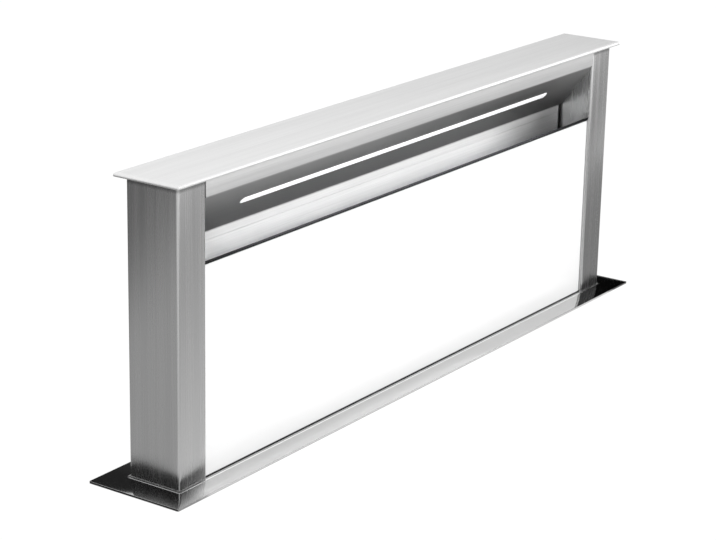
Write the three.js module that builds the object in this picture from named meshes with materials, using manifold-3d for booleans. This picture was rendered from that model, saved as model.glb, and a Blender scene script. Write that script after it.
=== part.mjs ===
// Worktop downdraft vent, raised: a slim tower that rises out of a slot in a kitchen worktop.
// Millimetres, +Z up. The origin is the middle of the slot, on the worktop's surface.
// -Y is the cook's side, with the glass panel, the light and the air intake.

import * as THREE from 'three';
import { mergeVertices } from 'three/addons/utils/BufferGeometryUtils.js';
import Module from 'manifold-3d';

const wasm = await Module();
wasm.setup();

// ---------------------------------------------------------------- driving dimensions

const gap = 0.3; // between pieces that touch on the real object

const flangeThickness = 3;
const flangeOverhangEnds = 42;
const flangeOverhangSides = 32.2;

const towerWidth = 1078;
const towerDepth = 82.6;
const towerRise = 400; // flange to the lid's underside
const towerBelow = 128; // the stretch of tower that stays under the worktop
const steel = 1.5; // sheet thickness of columns, rear panel and chassis
const thinSteel = 1.2; // sheet thickness of the light housing and the inner wall

const columnWidth = 54.5;
const columnBend = 3.5;
const lidThickness = 5.5;
const lidOverhangEnds = 12.3;
const lidOverhangSides = 10.8;

const fasciaHeight = 24.7;
const innerWallY = 13.3;
const innerWallTop = 308.4;
const ledLength = 768;
const ledWidth = 11.5;
const ledFromFascia = 40.3; // along the slope, to the middle of the light

const panelTop = 289;
const panelBottom = 4.6;
const panelRecess = 4.5;
const glassThickness = 6;

const chassisInnerWidth = 1120;
const chassisInnerDepth = 100;
const chassisBottom = -640;

const spindleRadius = 8;
const driveZ = -600; // height of the cross shafts
const shaftRadius = 6;

const blowerX = -60;
const blowerZ = -390;
const blowerDepth = 180;
const scrollSmall = 125;
const scrollLarge = 205;
const wheelRadius = 112;
const spigotRadius = 75;

// ---------------------------------------------------------------- derived places

const halfTower = towerWidth / 2;
const frontY = -towerDepth / 2;
const rearY = towerDepth / 2;
const lidUnder = flangeThickness + towerRise;
const columnTop = lidUnder - gap;
const fasciaBottom = lidUnder - fasciaHeight;
const halfBay = halfTower - columnWidth - gap; // between the columns
const columnX = halfTower - columnWidth / 2;
const glassFront = frontY + panelRecess;
const glassBack = glassFront + glassThickness;
const chassisX = chassisInnerWidth / 2;
const chassisY = chassisInnerDepth / 2;

// ---------------------------------------------------------------- materials

const finishes = {
  brushedSteel: { color: 0xc4c5c6, roughness: 0.34, metalness: 1 },
  polishedSteel: { color: 0x9a9b9d, roughness: 0.12, metalness: 1 },
  galvanised: { color: 0xa9adb0, roughness: 0.5, metalness: 1 },
  whiteGlass: { color: 0xfafafa, roughness: 0.08, metalness: 0 },
  opal: { color: 0xffffff, roughness: 0.4, metalness: 0, emissive: 0xffffff },
  darkTrim: { color: 0x55575a, roughness: 0.45, metalness: 0.6 },
  rubber: { color: 0x1c1c1d, roughness: 0.85, metalness: 0 },
  blackPlastic: { color: 0x232426, roughness: 0.55, metalness: 0 },
  whitePlastic: { color: 0xe6e5e0, roughness: 0.5, metalness: 0 },
  brass: { color: 0xb8954f, roughness: 0.35, metalness: 1 },
  machinedSteel: { color: 0x8d9094, roughness: 0.3, metalness: 1 },
  aluminium: { color: 0xb9bcbf, roughness: 0.4, metalness: 1 },
  castZinc: { color: 0x808489, roughness: 0.55, metalness: 0.9 },
  circuitBoard: { color: 0x1d5a3a, roughness: 0.6, metalness: 0 },
};

// ---------------------------------------------------------------- geometry helpers

// A block given by its lowest and highest corner.
function block([x0, y0, z0], [x1, y1, z1]) {
  const geometry = new THREE.BoxGeometry(x1 - x0, y1 - y0, z1 - z0);
  return geometry.translate((x0 + x1) / 2, (y0 + y1) / 2, (z0 + z1) / 2);
}

function shapeOf(points) {
  return new THREE.Shape(points.map(([a, b]) => new THREE.Vector2(a, b)));
}

// A rectangle round (0, 0) with rounded corners.
function roundedRectangle(width, depth, radius, Path = THREE.Shape) {
  const [x, y] = [width / 2, depth / 2];
  const path = new Path();
  path.moveTo(-x + radius, -y);
  path.lineTo(x - radius, -y);
  path.absarc(x - radius, -y + radius, radius, -Math.PI / 2, 0);
  path.lineTo(x, y - radius);
  path.absarc(x - radius, y - radius, radius, 0, Math.PI / 2);
  path.lineTo(-x + radius, y);
  path.absarc(-x + radius, y - radius, radius, Math.PI / 2, Math.PI);
  path.lineTo(-x, -y + radius);
  path.absarc(-x + radius, -y + radius, radius, Math.PI, 1.5 * Math.PI);
  return path;
}

function circle(radius, Path = THREE.Shape, [x, y] = [0, 0]) {
  const path = new Path();
  path.absarc(x, y, radius, 0, 2 * Math.PI);
  return path;
}

function extrude(shape, length, curveSegments = 2) {
  return new THREE.ExtrudeGeometry(shape, { depth: length, bevelEnabled: false, curveSegments });
}

// A shape drawn in (x, y) and carried up from z0 to z1.
function extrudeUp(shape, z0, z1, curveSegments) {
  return extrude(shape, z1 - z0, curveSegments).translate(0, 0, z0);
}

// A shape drawn in (y, z) and carried along x.
function extrudeAcross(shape, x0, x1, curveSegments) {
  const turn = new THREE.Matrix4().makeBasis(
    new THREE.Vector3(0, 1, 0), new THREE.Vector3(0, 0, 1), new THREE.Vector3(1, 0, 0));
  return extrude(shape, x1 - x0, curveSegments).applyMatrix4(turn).translate(x0, 0, 0);
}

// A shape drawn in (x, z) and carried from y1 back to y0.
function extrudeBack(shape, y0, y1, curveSegments) {
  const turn = new THREE.Matrix4().makeBasis(
    new THREE.Vector3(1, 0, 0), new THREE.Vector3(0, 0, 1), new THREE.Vector3(0, -1, 0));
  return extrude(shape, y1 - y0, curveSegments).applyMatrix4(turn).translate(0, y1, 0);
}

// The closed outline of a folded sheet: an open line of bends, thickened to its left.
function foldedSheet(bends, thickness) {
  const line = bends.map(([a, b]) => new THREE.Vector2(a, b));
  const normals = line.slice(1).map((end, i) => {
    const along = end.clone().sub(line[i]).normalize();
    return new THREE.Vector2(-along.y, along.x);
  });
  const inner = line.map((point, i) => {
    const before = normals[Math.max(i - 1, 0)];
    const after = normals[Math.min(i, normals.length - 1)];
    const mitre = before.clone().add(after);
    return point.clone().add(mitre.multiplyScalar(thickness / (1 + before.dot(after))));
  });
  return new THREE.Shape([...line, ...inner.reverse()]);
}

// A turned piece: a profile of [radius, height] carried round the Z axis.
function turned(profile, segments = 24) {
  const points = profile.map(([radius, height]) => new THREE.Vector2(radius, height));
  return new THREE.LatheGeometry(points, segments).rotateX(Math.PI / 2);
}

// The same with its axis along X, so that height runs along +X.
function turnedAcross(profile, segments) {
  return turned(profile, segments).rotateY(Math.PI / 2);
}

// The same with its axis along Y, so that height runs along +Y.
function turnedBack(profile, segments) {
  return turned(profile, segments).rotateX(-Math.PI / 2);
}

function rod(radius, low, high) {
  return [[0, low], [radius, low], [radius, high], [0, high]];
}

function tube(inner, outer, low, high) {
  return [[inner, low], [outer, low], [outer, high], [inner, high], [inner, low]];
}

// ---------------------------------------------------------------- cutting and joining

function solid(geometry) {
  const bare = geometry.clone();
  bare.deleteAttribute('normal');
  bare.deleteAttribute('uv');
  const merged = mergeVertices(bare, 1e-4);
  const vertProperties = new Float32Array(merged.attributes.position.array);
  const triVerts = new Uint32Array(merged.index.array);
  return new wasm.Manifold(new wasm.Mesh({ numProp: 3, vertProperties, triVerts }));
}

function surface(body) {
  const mesh = body.getMesh();
  const geometry = new THREE.BufferGeometry();
  geometry.setAttribute('position', new THREE.BufferAttribute(mesh.vertProperties, 3));
  geometry.setIndex(new THREE.BufferAttribute(mesh.triVerts, 1));
  geometry.computeVertexNormals();
  return geometry;
}

function cut(geometry, ...tools) {
  return surface(tools.reduce((body, tool) => body.subtract(solid(tool)), solid(geometry)));
}

function join(...geometries) {
  return surface(geometries.map(solid).reduce((body, other) => body.add(other)));
}

// ---------------------------------------------------------------- assembly

const vent = new THREE.Group();
vent.name = 'downdraft_vent';

function assembly(parent, x = 0, y = 0, z = 0) {
  const group = new THREE.Group();
  group.position.set(x, y, z);
  parent.add(group);
  return group;
}

function piece(parent, name, finish, geometry, x = 0, y = 0, z = 0) {
  const mesh = new THREE.Mesh(geometry, new THREE.MeshStandardMaterial(finishes[finish]));
  mesh.name = name;
  mesh.position.set(x, y, z);
  parent.add(mesh);
  return mesh;
}

const sides = [['left', -1], ['right', 1]];

// ---------------------------------------------------------------- worktop flange and seal

const slotClearance = 3; // round the tower, both sides together
const flangeRelief = 0.3; // the underside is hollowed by this over the chassis
const flangeCorner = 2;

const flangeOutline = roundedRectangle(
  towerWidth + 2 * flangeOverhangEnds, towerDepth + 2 * flangeOverhangSides, flangeCorner);
flangeOutline.holes.push(roundedRectangle(
  towerWidth + slotClearance, towerDepth + slotClearance, columnBend + 1, THREE.Path));
const reliefX = chassisX + steel + gap;
const reliefY = chassisY + steel + gap;
piece(vent, 'worktop_flange', 'polishedSteel', cut(
  extrudeUp(flangeOutline, 0, flangeThickness),
  block([-reliefX, -reliefY, -1], [reliefX, reliefY, flangeRelief])));

// Rubber wiper that keeps spills out of the slot; its lip stays just clear of the tower.
const sealThickness = 6;
const sealClearance = 1;
const sealOutline = roundedRectangle(
  chassisInnerWidth - sealClearance, chassisInnerDepth - sealClearance, flangeCorner);
sealOutline.holes.push(roundedRectangle(
  towerWidth + sealClearance, towerDepth + sealClearance, columnBend, THREE.Path));
piece(vent, 'wiper_seal', 'rubber', extrudeUp(sealOutline, -sealThickness, 0));

// ---------------------------------------------------------------- chassis below the worktop

const chassis = assembly(vent);
const inletHole = 95;
const trayLip = 30;
const wallBottom = chassisBottom + steel;

const frontOutline = shapeOf([
  [-chassisX - steel, wallBottom], [chassisX + steel, wallBottom],
  [chassisX + steel, 0], [-chassisX - steel, 0]]);
frontOutline.holes.push(circle(inletHole, THREE.Path, [blowerX, blowerZ]));
piece(chassis, 'chassis_front', 'galvanised',
  extrudeBack(frontOutline, -chassisY - steel, -chassisY, 12));

piece(chassis, 'chassis_rear', 'galvanised', block(
  [-chassisX - steel, chassisY, wallBottom], [chassisX + steel, chassisY + steel, 0]));

for (const [side, sign] of sides) {
  const x = sign > 0 ? chassisX : -chassisX - steel;
  piece(chassis, `chassis_${side}_end`, 'galvanised', block(
    [x, -chassisY + gap, wallBottom], [x + steel, chassisY - gap, 0]));
}

// The floor is a tray whose lips stand inside the front and rear walls.
const trayY = chassisY - gap;
const trayProfile = foldedSheet([
  [-trayY, chassisBottom + trayLip], [-trayY, chassisBottom],
  [trayY, chassisBottom], [trayY, chassisBottom + trayLip]], steel);
piece(chassis, 'chassis_floor', 'galvanised',
  extrudeAcross(trayProfile, -chassisX + gap, chassisX - gap));

// Brackets that tie the chassis to the cabinet's floor.
const bracketSheet = 2;
const bracketFoot = 18;
const bracketHeight = 80;
const bracketHalf = 35;
for (const [side, sign] of sides) {
  const wall = chassisX + steel + gap;
  const bracketProfile = foldedSheet([
    [sign * (wall + bracketFoot), chassisBottom], [sign * wall, chassisBottom],
    [sign * wall, chassisBottom + bracketHeight]], -sign * bracketSheet);
  piece(chassis, `floor_bracket_${side}`, 'galvanised',
    extrudeBack(bracketProfile, -bracketHalf, bracketHalf));
}

// Clamps that pull the flange down on the worktop: a hooked bracket with a hole for its screw.
const clampWall = chassisY + steel + gap;
const clampReach = 26;
const clampArm = -52;
const clampDrop = 58;
const clampSheet = 2.5;
const clampHalf = 16;
const clampHoleRadius = 3.4;
const clampHoleReach = 17;
const clampX = 400;
const clampPlaces = [
  ['front_left', -clampX, -1], ['front_right', clampX, -1],
  ['rear_left', -clampX, 1], ['rear_right', clampX, 1]];
for (const [place, x, sign] of clampPlaces) {
  const clamp = assembly(chassis, x, sign * clampWall, clampArm);
  const profile = foldedSheet([
    [0, -clampDrop], [0, 0], [sign * clampReach, 0]], -sign * clampSheet);
  const hole = turned(rod(clampHoleRadius, -5, 5), 16).translate(0, sign * clampHoleReach, 0);
  piece(clamp, `worktop_clamp_${place}`, 'galvanised',
    cut(extrudeAcross(profile, -clampHalf, clampHalf), hole));
}

// ---------------------------------------------------------------- guide rails and glide shoes

const railDepth = 14.7;
const railHalf = 16;
const railWall = 2;
const slotHalf = 6;
const railBottom = -550;
const railTop = -10;

// Channel with its slot facing the tower, drawn for the right end.
function railShape(sign) {
  const back = sign * (chassisX - gap);
  const face = sign * (chassisX - gap - railDepth);
  return foldedSheet([
    [face, slotHalf * sign], [face, railHalf * sign], [back, railHalf * sign],
    [back, -railHalf * sign], [face, -railHalf * sign], [face, -slotHalf * sign]], -railWall);
}

for (const [side, sign] of sides) {
  piece(chassis, `guide_rail_${side}`, 'aluminium', extrudeUp(railShape(sign), railBottom, railTop));
}

// ---------------------------------------------------------------- tower

const tower = assembly(vent);
const towerBottom = -towerBelow;

const lidCorner = 1.5;
const lidOutline = roundedRectangle(
  towerWidth + 2 * lidOverhangEnds, towerDepth + 2 * lidOverhangSides, lidCorner);
piece(tower, 'top_lid', 'brushedSteel',
  extrudeUp(lidOutline, lidUnder, lidUnder + lidThickness));

// Columns: box sections folded from brushed sheet, open at both ends.
function boxSection() {
  const outline = roundedRectangle(columnWidth, towerDepth, columnBend);
  outline.holes.push(roundedRectangle(
    columnWidth - 2 * steel, towerDepth - 2 * steel, columnBend - steel, THREE.Path));
  return extrudeUp(outline, towerBottom, columnTop, 3);
}
for (const [side, sign] of sides) {
  piece(tower, `${side}_column`, 'brushedSteel', boxSection(), sign * columnX);
}

// Light housing: one folded sheet with a top return, the fascia and the slope down to the wall.
const housingReturn = 26;
const housingLip = 12;
const slope = new THREE.Vector2(innerWallY - frontY, innerWallTop - fasciaBottom);
const slopeAngle = Math.atan2(slope.y, slope.x);
const housingProfile = foldedSheet([
  [frontY + housingReturn, columnTop], [frontY, columnTop], [frontY, fasciaBottom],
  [innerWallY, innerWallTop], [innerWallY, innerWallTop - housingLip]], thinSteel);

// A long slot with round ends, lying in the slope: length along x, width down the slope.
function stadium(length, width) {
  const [straight, radius] = [(length - width) / 2, width / 2];
  const shape = new THREE.Shape();
  shape.absarc(straight, 0, radius, -Math.PI / 2, Math.PI / 2);
  shape.absarc(-straight, 0, radius, Math.PI / 2, 1.5 * Math.PI);
  return shape;
}

const lightY = frontY + ledFromFascia * Math.cos(slopeAngle);
const lightZ = fasciaBottom + ledFromFascia * Math.sin(slopeAngle);

// Turns a piece drawn in (x, y) with z outwards so that z leaves the slope's face.
function inSlope(geometry) {
  return geometry.rotateX(slopeAngle + Math.PI).translate(0, lightY, lightZ);
}
const lightSlot = inSlope(extrudeUp(stadium(ledLength, ledWidth), -4, 4, 5));
piece(tower, 'light_housing', 'brushedSteel',
  cut(extrudeAcross(housingProfile, -halfBay, halfBay), lightSlot));

// Opal diffuser: a bar in the slot with a wider flange behind the sheet.
const diffuserProud = 0.6;
const diffuserRim = 4; // how far the flange reaches past the slot
const diffuserBack = thinSteel + 2;
const diffuserBar = extrudeUp(
  stadium(ledLength - 2 * gap, ledWidth - 2 * gap), -thinSteel - 1, diffuserProud, 5);
const diffuserFlange = extrudeUp(
  stadium(ledLength + 2 * diffuserRim, ledWidth + 2 * diffuserRim),
  -diffuserBack, -thinSteel - gap, 5);
piece(tower, 'led_diffuser', 'opal', inSlope(join(diffuserBar, diffuserFlange)));
const boardHalf = 6;
const boardBack = 8.6;
const boardThickness = 1.6;
piece(tower, 'led_board', 'circuitBoard', inSlope(block(
  [-ledLength / 2, -boardHalf, -boardBack],
  [ledLength / 2, boardHalf, boardThickness - boardBack])));

// Sheets between the columns: the inner wall with its filter ledge, the rear and the front skirt.
const innerWallBottom = -100;
const ledgeFront = -4;
const ledgeZ = 204;
const filterLedge = block(
  [-halfBay, ledgeFront, ledgeZ], [halfBay, innerWallY + thinSteel / 2, ledgeZ + thinSteel]);
piece(tower, 'inner_back_wall', 'brushedSteel', join(filterLedge, block(
  [-halfBay, innerWallY, innerWallBottom],
  [halfBay, innerWallY + thinSteel, innerWallTop - housingLip - gap])));
const rearReturn = 22;
const rearProfile = foldedSheet([
  [rearY - rearReturn, towerBottom], [rearY, towerBottom], [rearY, columnTop]], steel);
piece(tower, 'rear_panel', 'brushedSteel', extrudeAcross(rearProfile, -halfBay, halfBay));
const skirtReturn = 16;
const panelSealBottom = 1; // the panel's seal stands in the slot, on the skirt
const skirtProfile = foldedSheet([
  [glassFront, panelSealBottom - gap], [glassFront, towerBottom],
  [glassFront + skirtReturn, towerBottom]], steel);
piece(tower, 'front_skirt', 'brushedSteel', extrudeAcross(skirtProfile, -halfBay, halfBay));

// The light's supply, in the space behind the slope.
const driverHalf = 80;
const [driverFront, driverRear] = [18, 38];
const [driverLow, driverHigh] = [342, 374];
piece(tower, 'led_driver', 'whitePlastic', block(
  [-driverHalf, driverFront, driverLow], [driverHalf, driverRear, driverHigh]));

// Grease filters: framed mats on a slant behind the glass, held by a rest bar in front
// and by the ledge on the inner wall.
const filterFront = new THREE.Vector2(-24, 262);
const filterRear = new THREE.Vector2(3, 206);
const filterSlant = filterRear.clone().sub(filterFront);
const filterAngle = Math.atan2(filterSlant.y, filterSlant.x);
const filterCount = 3;
const filterThickness = 9;
const filterRoom = 1; // at each end of the row, and between one filter and the next
const filterPitch = (2 * halfBay - 2 * filterRoom) / filterCount;
const filterHalf = (filterPitch - filterRoom) / 2;
for (let i = 0; i < filterCount; i += 1) {
  const x = -halfBay + filterRoom + filterPitch * (i + 0.5);
  const filter = piece(tower, `grease_filter_${i + 1}`, 'aluminium', block(
    [-filterHalf, 0, 0], [filterHalf, filterSlant.length(), filterThickness]));
  filter.position.set(x, filterFront.x, filterFront.y);
  filter.rotation.x = filterAngle;
}
const restFront = -25;
const restTop = 248;
const restReturn = 6;
const restDrop = 14;
const restProfile = foldedSheet([
  [restFront + restReturn, restTop], [restFront, restTop],
  [restFront, restTop - restDrop]], thinSteel);
piece(tower, 'filter_rest_bar', 'brushedSteel', extrudeAcross(restProfile, -halfBay, halfBay));

// Glide shoes: a foot on the column, a neck through the rail's slot and a head inside it.
const shoeTop = -40;
const shoeFootHalf = 15;
const shoeNeckHalf = slotHalf - 1.5;
const shoeHeadHalf = railHalf - 3.5;
function shoeShape(sign) {
  const foot = halfTower + gap;
  const neck = foot + 4;
  const head = chassisX - 11;
  const end = chassisX - 5;
  const half = [
    [end, shoeHeadHalf], [head, shoeHeadHalf], [head, shoeNeckHalf], [neck, shoeNeckHalf],
    [neck, shoeFootHalf], [foot, shoeFootHalf]];
  const mirrored = half.map(([x, y]) => [x, -y]).reverse();
  return shapeOf([...half, ...mirrored].map(([x, y]) => [sign * x, sign * y]));
}
for (const [side, sign] of sides) {
  piece(tower, `glide_shoe_${side}`, 'blackPlastic',
    extrudeUp(shoeShape(sign), towerBottom + 4, shoeTop));
}

// Nut carriages: blocks in the columns' feet that carry the tower on its two brass nuts.
const carriageTop = towerBottom + 30;
const nutFlange = 5; // its thickness, under the carriage
const nutFlangeRadius = 21;
const nutRadius = 14;
const nutBore = spindleRadius + 0.7;
for (const [side, sign] of sides) {
  const x = sign * columnX;
  const carriage = extrudeUp(roundedRectangle(
    columnWidth - 2 * steel - 2 * gap, towerDepth - 2 * steel - 2 * gap, columnBend - steel),
  towerBottom, carriageTop);
  const bore = turned(rod(nutRadius + 0.5, towerBottom - 5, carriageTop + 5));
  piece(tower, `${side}_nut_carriage`, 'castZinc', cut(carriage, bore), x);
  const nut = [
    [nutBore, towerBottom - nutFlange], [nutFlangeRadius, towerBottom - nutFlange],
    [nutFlangeRadius, towerBottom - gap], [nutRadius, towerBottom - gap],
    [nutRadius, carriageTop - 2], [nutBore, carriageTop - 2],
    [nutBore, towerBottom - nutFlange]];
  piece(tower, `${side}_lift_nut`, 'brass', turned(nut), x);
}

// ---------------------------------------------------------------- removable glass panel

const frontPanel = assembly(tower);
const glassHalf = halfBay - 0.7;
const trimHeight = 2;
const trimSetBack = 0.4; // behind the glass's face
const sealSetBack = 0.8;

piece(frontPanel, 'glass_panel', 'whiteGlass', block(
  [-glassHalf, glassFront, panelBottom], [glassHalf, glassBack, panelTop]));
piece(frontPanel, 'panel_top_trim', 'darkTrim', block(
  [-glassHalf, glassFront + trimSetBack, panelTop + gap],
  [glassHalf, glassBack + trimSetBack, panelTop + gap + trimHeight]));
piece(frontPanel, 'panel_bottom_seal', 'rubber', block(
  [-glassHalf, glassFront + sealSetBack, panelSealBottom],
  [glassHalf, glassBack, panelBottom - gap]));

// A frame bonded behind the glass, with four hooks that drop over the hangers.
const frameFront = glassBack + gap;
const frameSheet = 1;
const frameHalf = glassHalf - 4;
const [frameLow, frameHigh] = [30, 240];
const frameSideWidth = 26;
const frameBarHeight = 20;
const hookX = glassHalf - 14;
const hookHeights = [70, 210];
const hookReach = 8;
const hookDrop = 10;
const hookHalf = 5;

function frameRectangle(half, low, high) {
  return [[-half, low], [half, low], [half, high], [-half, high]];
}
const frameOutline = shapeOf(frameRectangle(frameHalf, frameLow, frameHigh));
frameOutline.holes.push(shapeOf(frameRectangle(
  frameHalf - frameSideWidth, frameLow + frameBarHeight, frameHigh - frameBarHeight)));
const hooks = [];
for (const [, sign] of sides) {
  for (const z of hookHeights) {
    const profile = foldedSheet([
      [frameFront, z], [frameFront + hookReach, z], [frameFront + hookReach, z - hookDrop]],
    thinSteel);
    hooks.push(extrudeAcross(profile, sign * hookX - hookHalf, sign * hookX + hookHalf));
  }
}
piece(frontPanel, 'panel_hook_frame', 'galvanised',
  join(extrudeBack(frameOutline, frameFront, frameFront + frameSheet), ...hooks));

// Hangers on the columns: a strip whose two tongues stand under the hooks.
const hangerSheet = 2;
const [hangerLow, hangerHigh] = [40, 225];
const [hangerFront, hangerRear] = [frameFront + 12, frameFront + 24];
const tongueFront = frameFront + 2.5;
const tongueThickness = 3;
const tongueHeight = 9;
const armHeight = 22;

// A block on one side of the bay, from a distance off its wall to a further one.
function onSide(sign, [near, front, low], [far, rear, high]) {
  const ends = [sign * near, sign * far].sort((a, b) => a - b);
  return block([ends[0], front, low], [ends[1], rear, high]);
}
for (const [side, sign] of sides) {
  const wall = halfBay - 0.2;
  const strip = onSide(sign,
    [wall - hangerSheet, hangerFront, hangerLow], [wall, hangerRear, hangerHigh]);
  const tongues = hookHeights.flatMap((z) => [
    onSide(sign, [hookX - 4, tongueFront, z - tongueHeight],
      [wall, tongueFront + tongueThickness, z - gap]),
    onSide(sign, [wall - hangerSheet, tongueFront, z - armHeight],
      [wall, hangerFront + 1, z - gap])]);
  piece(tower, `panel_hanger_${side}`, 'galvanised', join(strip, ...tongues));
}

// ---------------------------------------------------------------- lift drive

const drive = assembly(vent);
const apexGap = 0.5; // between the cones of a bevel pair
const bevelSmall = 10;
const bevelLarge = 17;
const spindleTop = -84;
const spindleChamfer = 3;
const shaftInner = 22; // where each shaft starts inside the gear head
const shaftBore = shaftRadius + 1.4;
const gearboxHalf = 28;
const gearboxWall = 4;
const gearboxLow = -37.5;
const gearboxHigh = 40;

for (const [side, sign] of sides) {
  const x = sign * columnX;
  const spindleProfile = [
    [0, bevelSmall + apexGap], [bevelSmall, bevelSmall + apexGap],
    [bevelLarge, bevelLarge + apexGap], [spindleRadius, bevelLarge + apexGap],
    [spindleRadius, spindleTop - driveZ - spindleChamfer],
    [spindleRadius - spindleChamfer, spindleTop - driveZ],
    [0, spindleTop - driveZ]];
  piece(drive, `${side}_spindle`, 'machinedSteel', turned(spindleProfile), x, 0, driveZ);

  const shaftProfile = [
    [0, shaftInner], [shaftRadius, shaftInner], [shaftRadius, columnX - bevelLarge - apexGap],
    [bevelLarge, columnX - bevelLarge - apexGap], [bevelSmall, columnX - bevelSmall - apexGap],
    [0, columnX - bevelSmall - apexGap]];
  const shaft = turnedAcross(shaftProfile);
  if (sign < 0) shaft.rotateZ(Math.PI);
  piece(drive, `${side}_cross_shaft`, 'machinedSteel', shaft, 0, 0, driveZ);

  const inside = gearboxHalf - gearboxWall;
  const housing = cut(
    block([-gearboxHalf, -gearboxHalf, gearboxLow], [gearboxHalf, gearboxHalf, gearboxHigh]),
    block([-inside, -inside, gearboxLow + gearboxWall], [inside, inside, gearboxHigh - gearboxWall]),
    turned(rod(spindleRadius + 1.4, inside - 5, gearboxHigh + 5)),
    turnedAcross(rod(shaftBore, 10, gearboxHalf + 5)).rotateZ(sign > 0 ? Math.PI : 0));
  piece(drive, `${side}_gearbox`, 'castZinc', housing, x, 0, driveZ);
}

// Gear head between the shafts, with the motor beside them.
const headHalf = 35;
const [headFront, headRear] = [-47, 28];
const [headLow, headHigh] = [chassisBottom + 2.5, -572];
const shaftSocket = shaftInner - 7;
const motorRadius = 20;
const motorLength = 107;
const bearingRadius = 9;
const bearingLength = 6;
const motorY = -26;
const motorZ = driveZ - 16;
piece(drive, 'lift_gear_head', 'castZinc', cut(
  block([-headHalf, headFront, headLow], [headHalf, headRear, headHigh]),
  turnedAcross(rod(shaftBore, shaftSocket, headHalf + 5)).translate(0, 0, driveZ),
  turnedAcross(rod(shaftBore, -headHalf - 5, -shaftSocket)).translate(0, 0, driveZ)));
const motorStart = headHalf + gap;
const motorEnd = headHalf + motorLength;
piece(drive, 'lift_motor', 'machinedSteel', turnedAcross([
  [0, motorStart], [motorRadius, motorStart], [motorRadius, motorEnd],
  [bearingRadius, motorEnd], [bearingRadius, motorEnd + bearingLength],
  [0, motorEnd + bearingLength]], 32), 0, motorY, motorZ);

// ---------------------------------------------------------------- blower on the chassis's front

const blower = assembly(vent, blowerX, -chassisY - steel - gap, blowerZ);
const casingWall = 2.5;
const plateThickness = 2;
const outletX = 220;
const outletHeight = 160;
const tongueAngle = -0.32;

// Scroll outline: a spiral from the tongue round to the bottom, then straight out to the outlet.
function scrollOutline(inset) {
  const outline = [];
  const steps = 36;
  for (let i = 0; i <= steps; i += 1) {
    const part = i / steps;
    const angle = tongueAngle + part * (1.5 * Math.PI - tongueAngle);
    const radius = scrollSmall + part * (scrollLarge - scrollSmall) - inset;
    outline.push([radius * Math.cos(angle), radius * Math.sin(angle)]);
  }
  const outletEnd = outletX + (inset > 0 ? 10 : 0);
  outline.push([outletEnd, -scrollLarge + inset]);
  outline.push([outletEnd, -scrollLarge + outletHeight - inset]);
  return shapeOf(outline);
}
const casingFront = -blowerDepth;
const casingBack = -plateThickness - gap;
piece(blower, 'blower_casing', 'blackPlastic', cut(
  extrudeBack(scrollOutline(0), casingFront, casingBack),
  extrudeBack(scrollOutline(casingWall), casingFront + casingWall, casingBack + 10)));

const plateOutline = scrollOutline(0);
plateOutline.holes.push(circle(inletHole - 4.5, THREE.Path));

// The back plate's mouth is drawn into a ring that leads the air into the wheel.
const mouth = [
  [inletHole - 2.5, -1.5], [inletHole - 2.5, -0.4], [inletHole - 6.5, -0.4],
  [inletHole - 13, -11], [inletHole - 14, -24], [inletHole - 12.5, -24], [inletHole - 11, -11],
  [inletHole - 5.5, -1.5], [inletHole - 2.5, -1.5]];
piece(blower, 'blower_back_plate', 'galvanised', join(
  extrudeBack(plateOutline, -plateThickness, 0, 12), turnedBack(mouth, 32)));

// Fan wheel: a dished disc with a hub and the motor's shaft, thirty blades and a rim.
const bladeCount = 30;
const bladeLean = 0.5;
const bladeInner = wheelRadius - 17;
const wheelFront = -blowerDepth + 14;
const wheelRear = -32;
const hubY = -88;
const hubRadius = 13;
const dishFlat = 52; // radius where the dish starts to slope back
const discThickness = 2;
const bladeHalf = 0.9;
const fanShaft = 5;
const shaftEnd = hubY - 34;
const hubEnd = hubY - 22;
const dish = [
  [0, shaftEnd], [fanShaft, shaftEnd], [fanShaft, hubEnd], [hubRadius, hubEnd],
  [hubRadius, hubY - discThickness], [dishFlat, hubY - discThickness],
  [bladeInner - 6, wheelFront], [wheelRadius, wheelFront],
  [wheelRadius, wheelFront + discThickness], [bladeInner - 5, wheelFront + discThickness],
  [dishFlat + 1, hubY], [hubRadius, hubY], [hubRadius, hubY + 6], [0, hubY + 6]];
const rim = tube(bladeInner + 2, wheelRadius + 1, wheelRear - 3, wheelRear);
const blades = [];
for (let i = 0; i < bladeCount; i += 1) {
  const blade = block([-bladeHalf, wheelFront + 1, -9], [bladeHalf, wheelRear - 1, 8]);
  blade.rotateY(bladeLean).translate(0, 0, wheelRadius - 9);
  blades.push(blade.rotateY((2 * Math.PI * i) / bladeCount));
}
piece(blower, 'fan_wheel', 'blackPlastic',
  join(turnedBack(dish, 32), turnedBack(rim, 32), ...blades));

const motorFoot = casingFront + casingWall + gap;
const fanMotorRadius = 43;
const fanMotorChamfer = 5;
const motorFace = hubEnd - 3;
const shaftHole = fanShaft + 0.4;
piece(blower, 'fan_motor', 'machinedSteel', turnedBack([
  [0, motorFoot], [fanMotorRadius, motorFoot], [fanMotorRadius, motorFace - fanMotorChamfer],
  [fanMotorRadius - fanMotorChamfer, motorFace], [shaftHole, motorFace],
  [shaftHole, shaftEnd - 4], [0, shaftEnd - 4]], 32));

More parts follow.
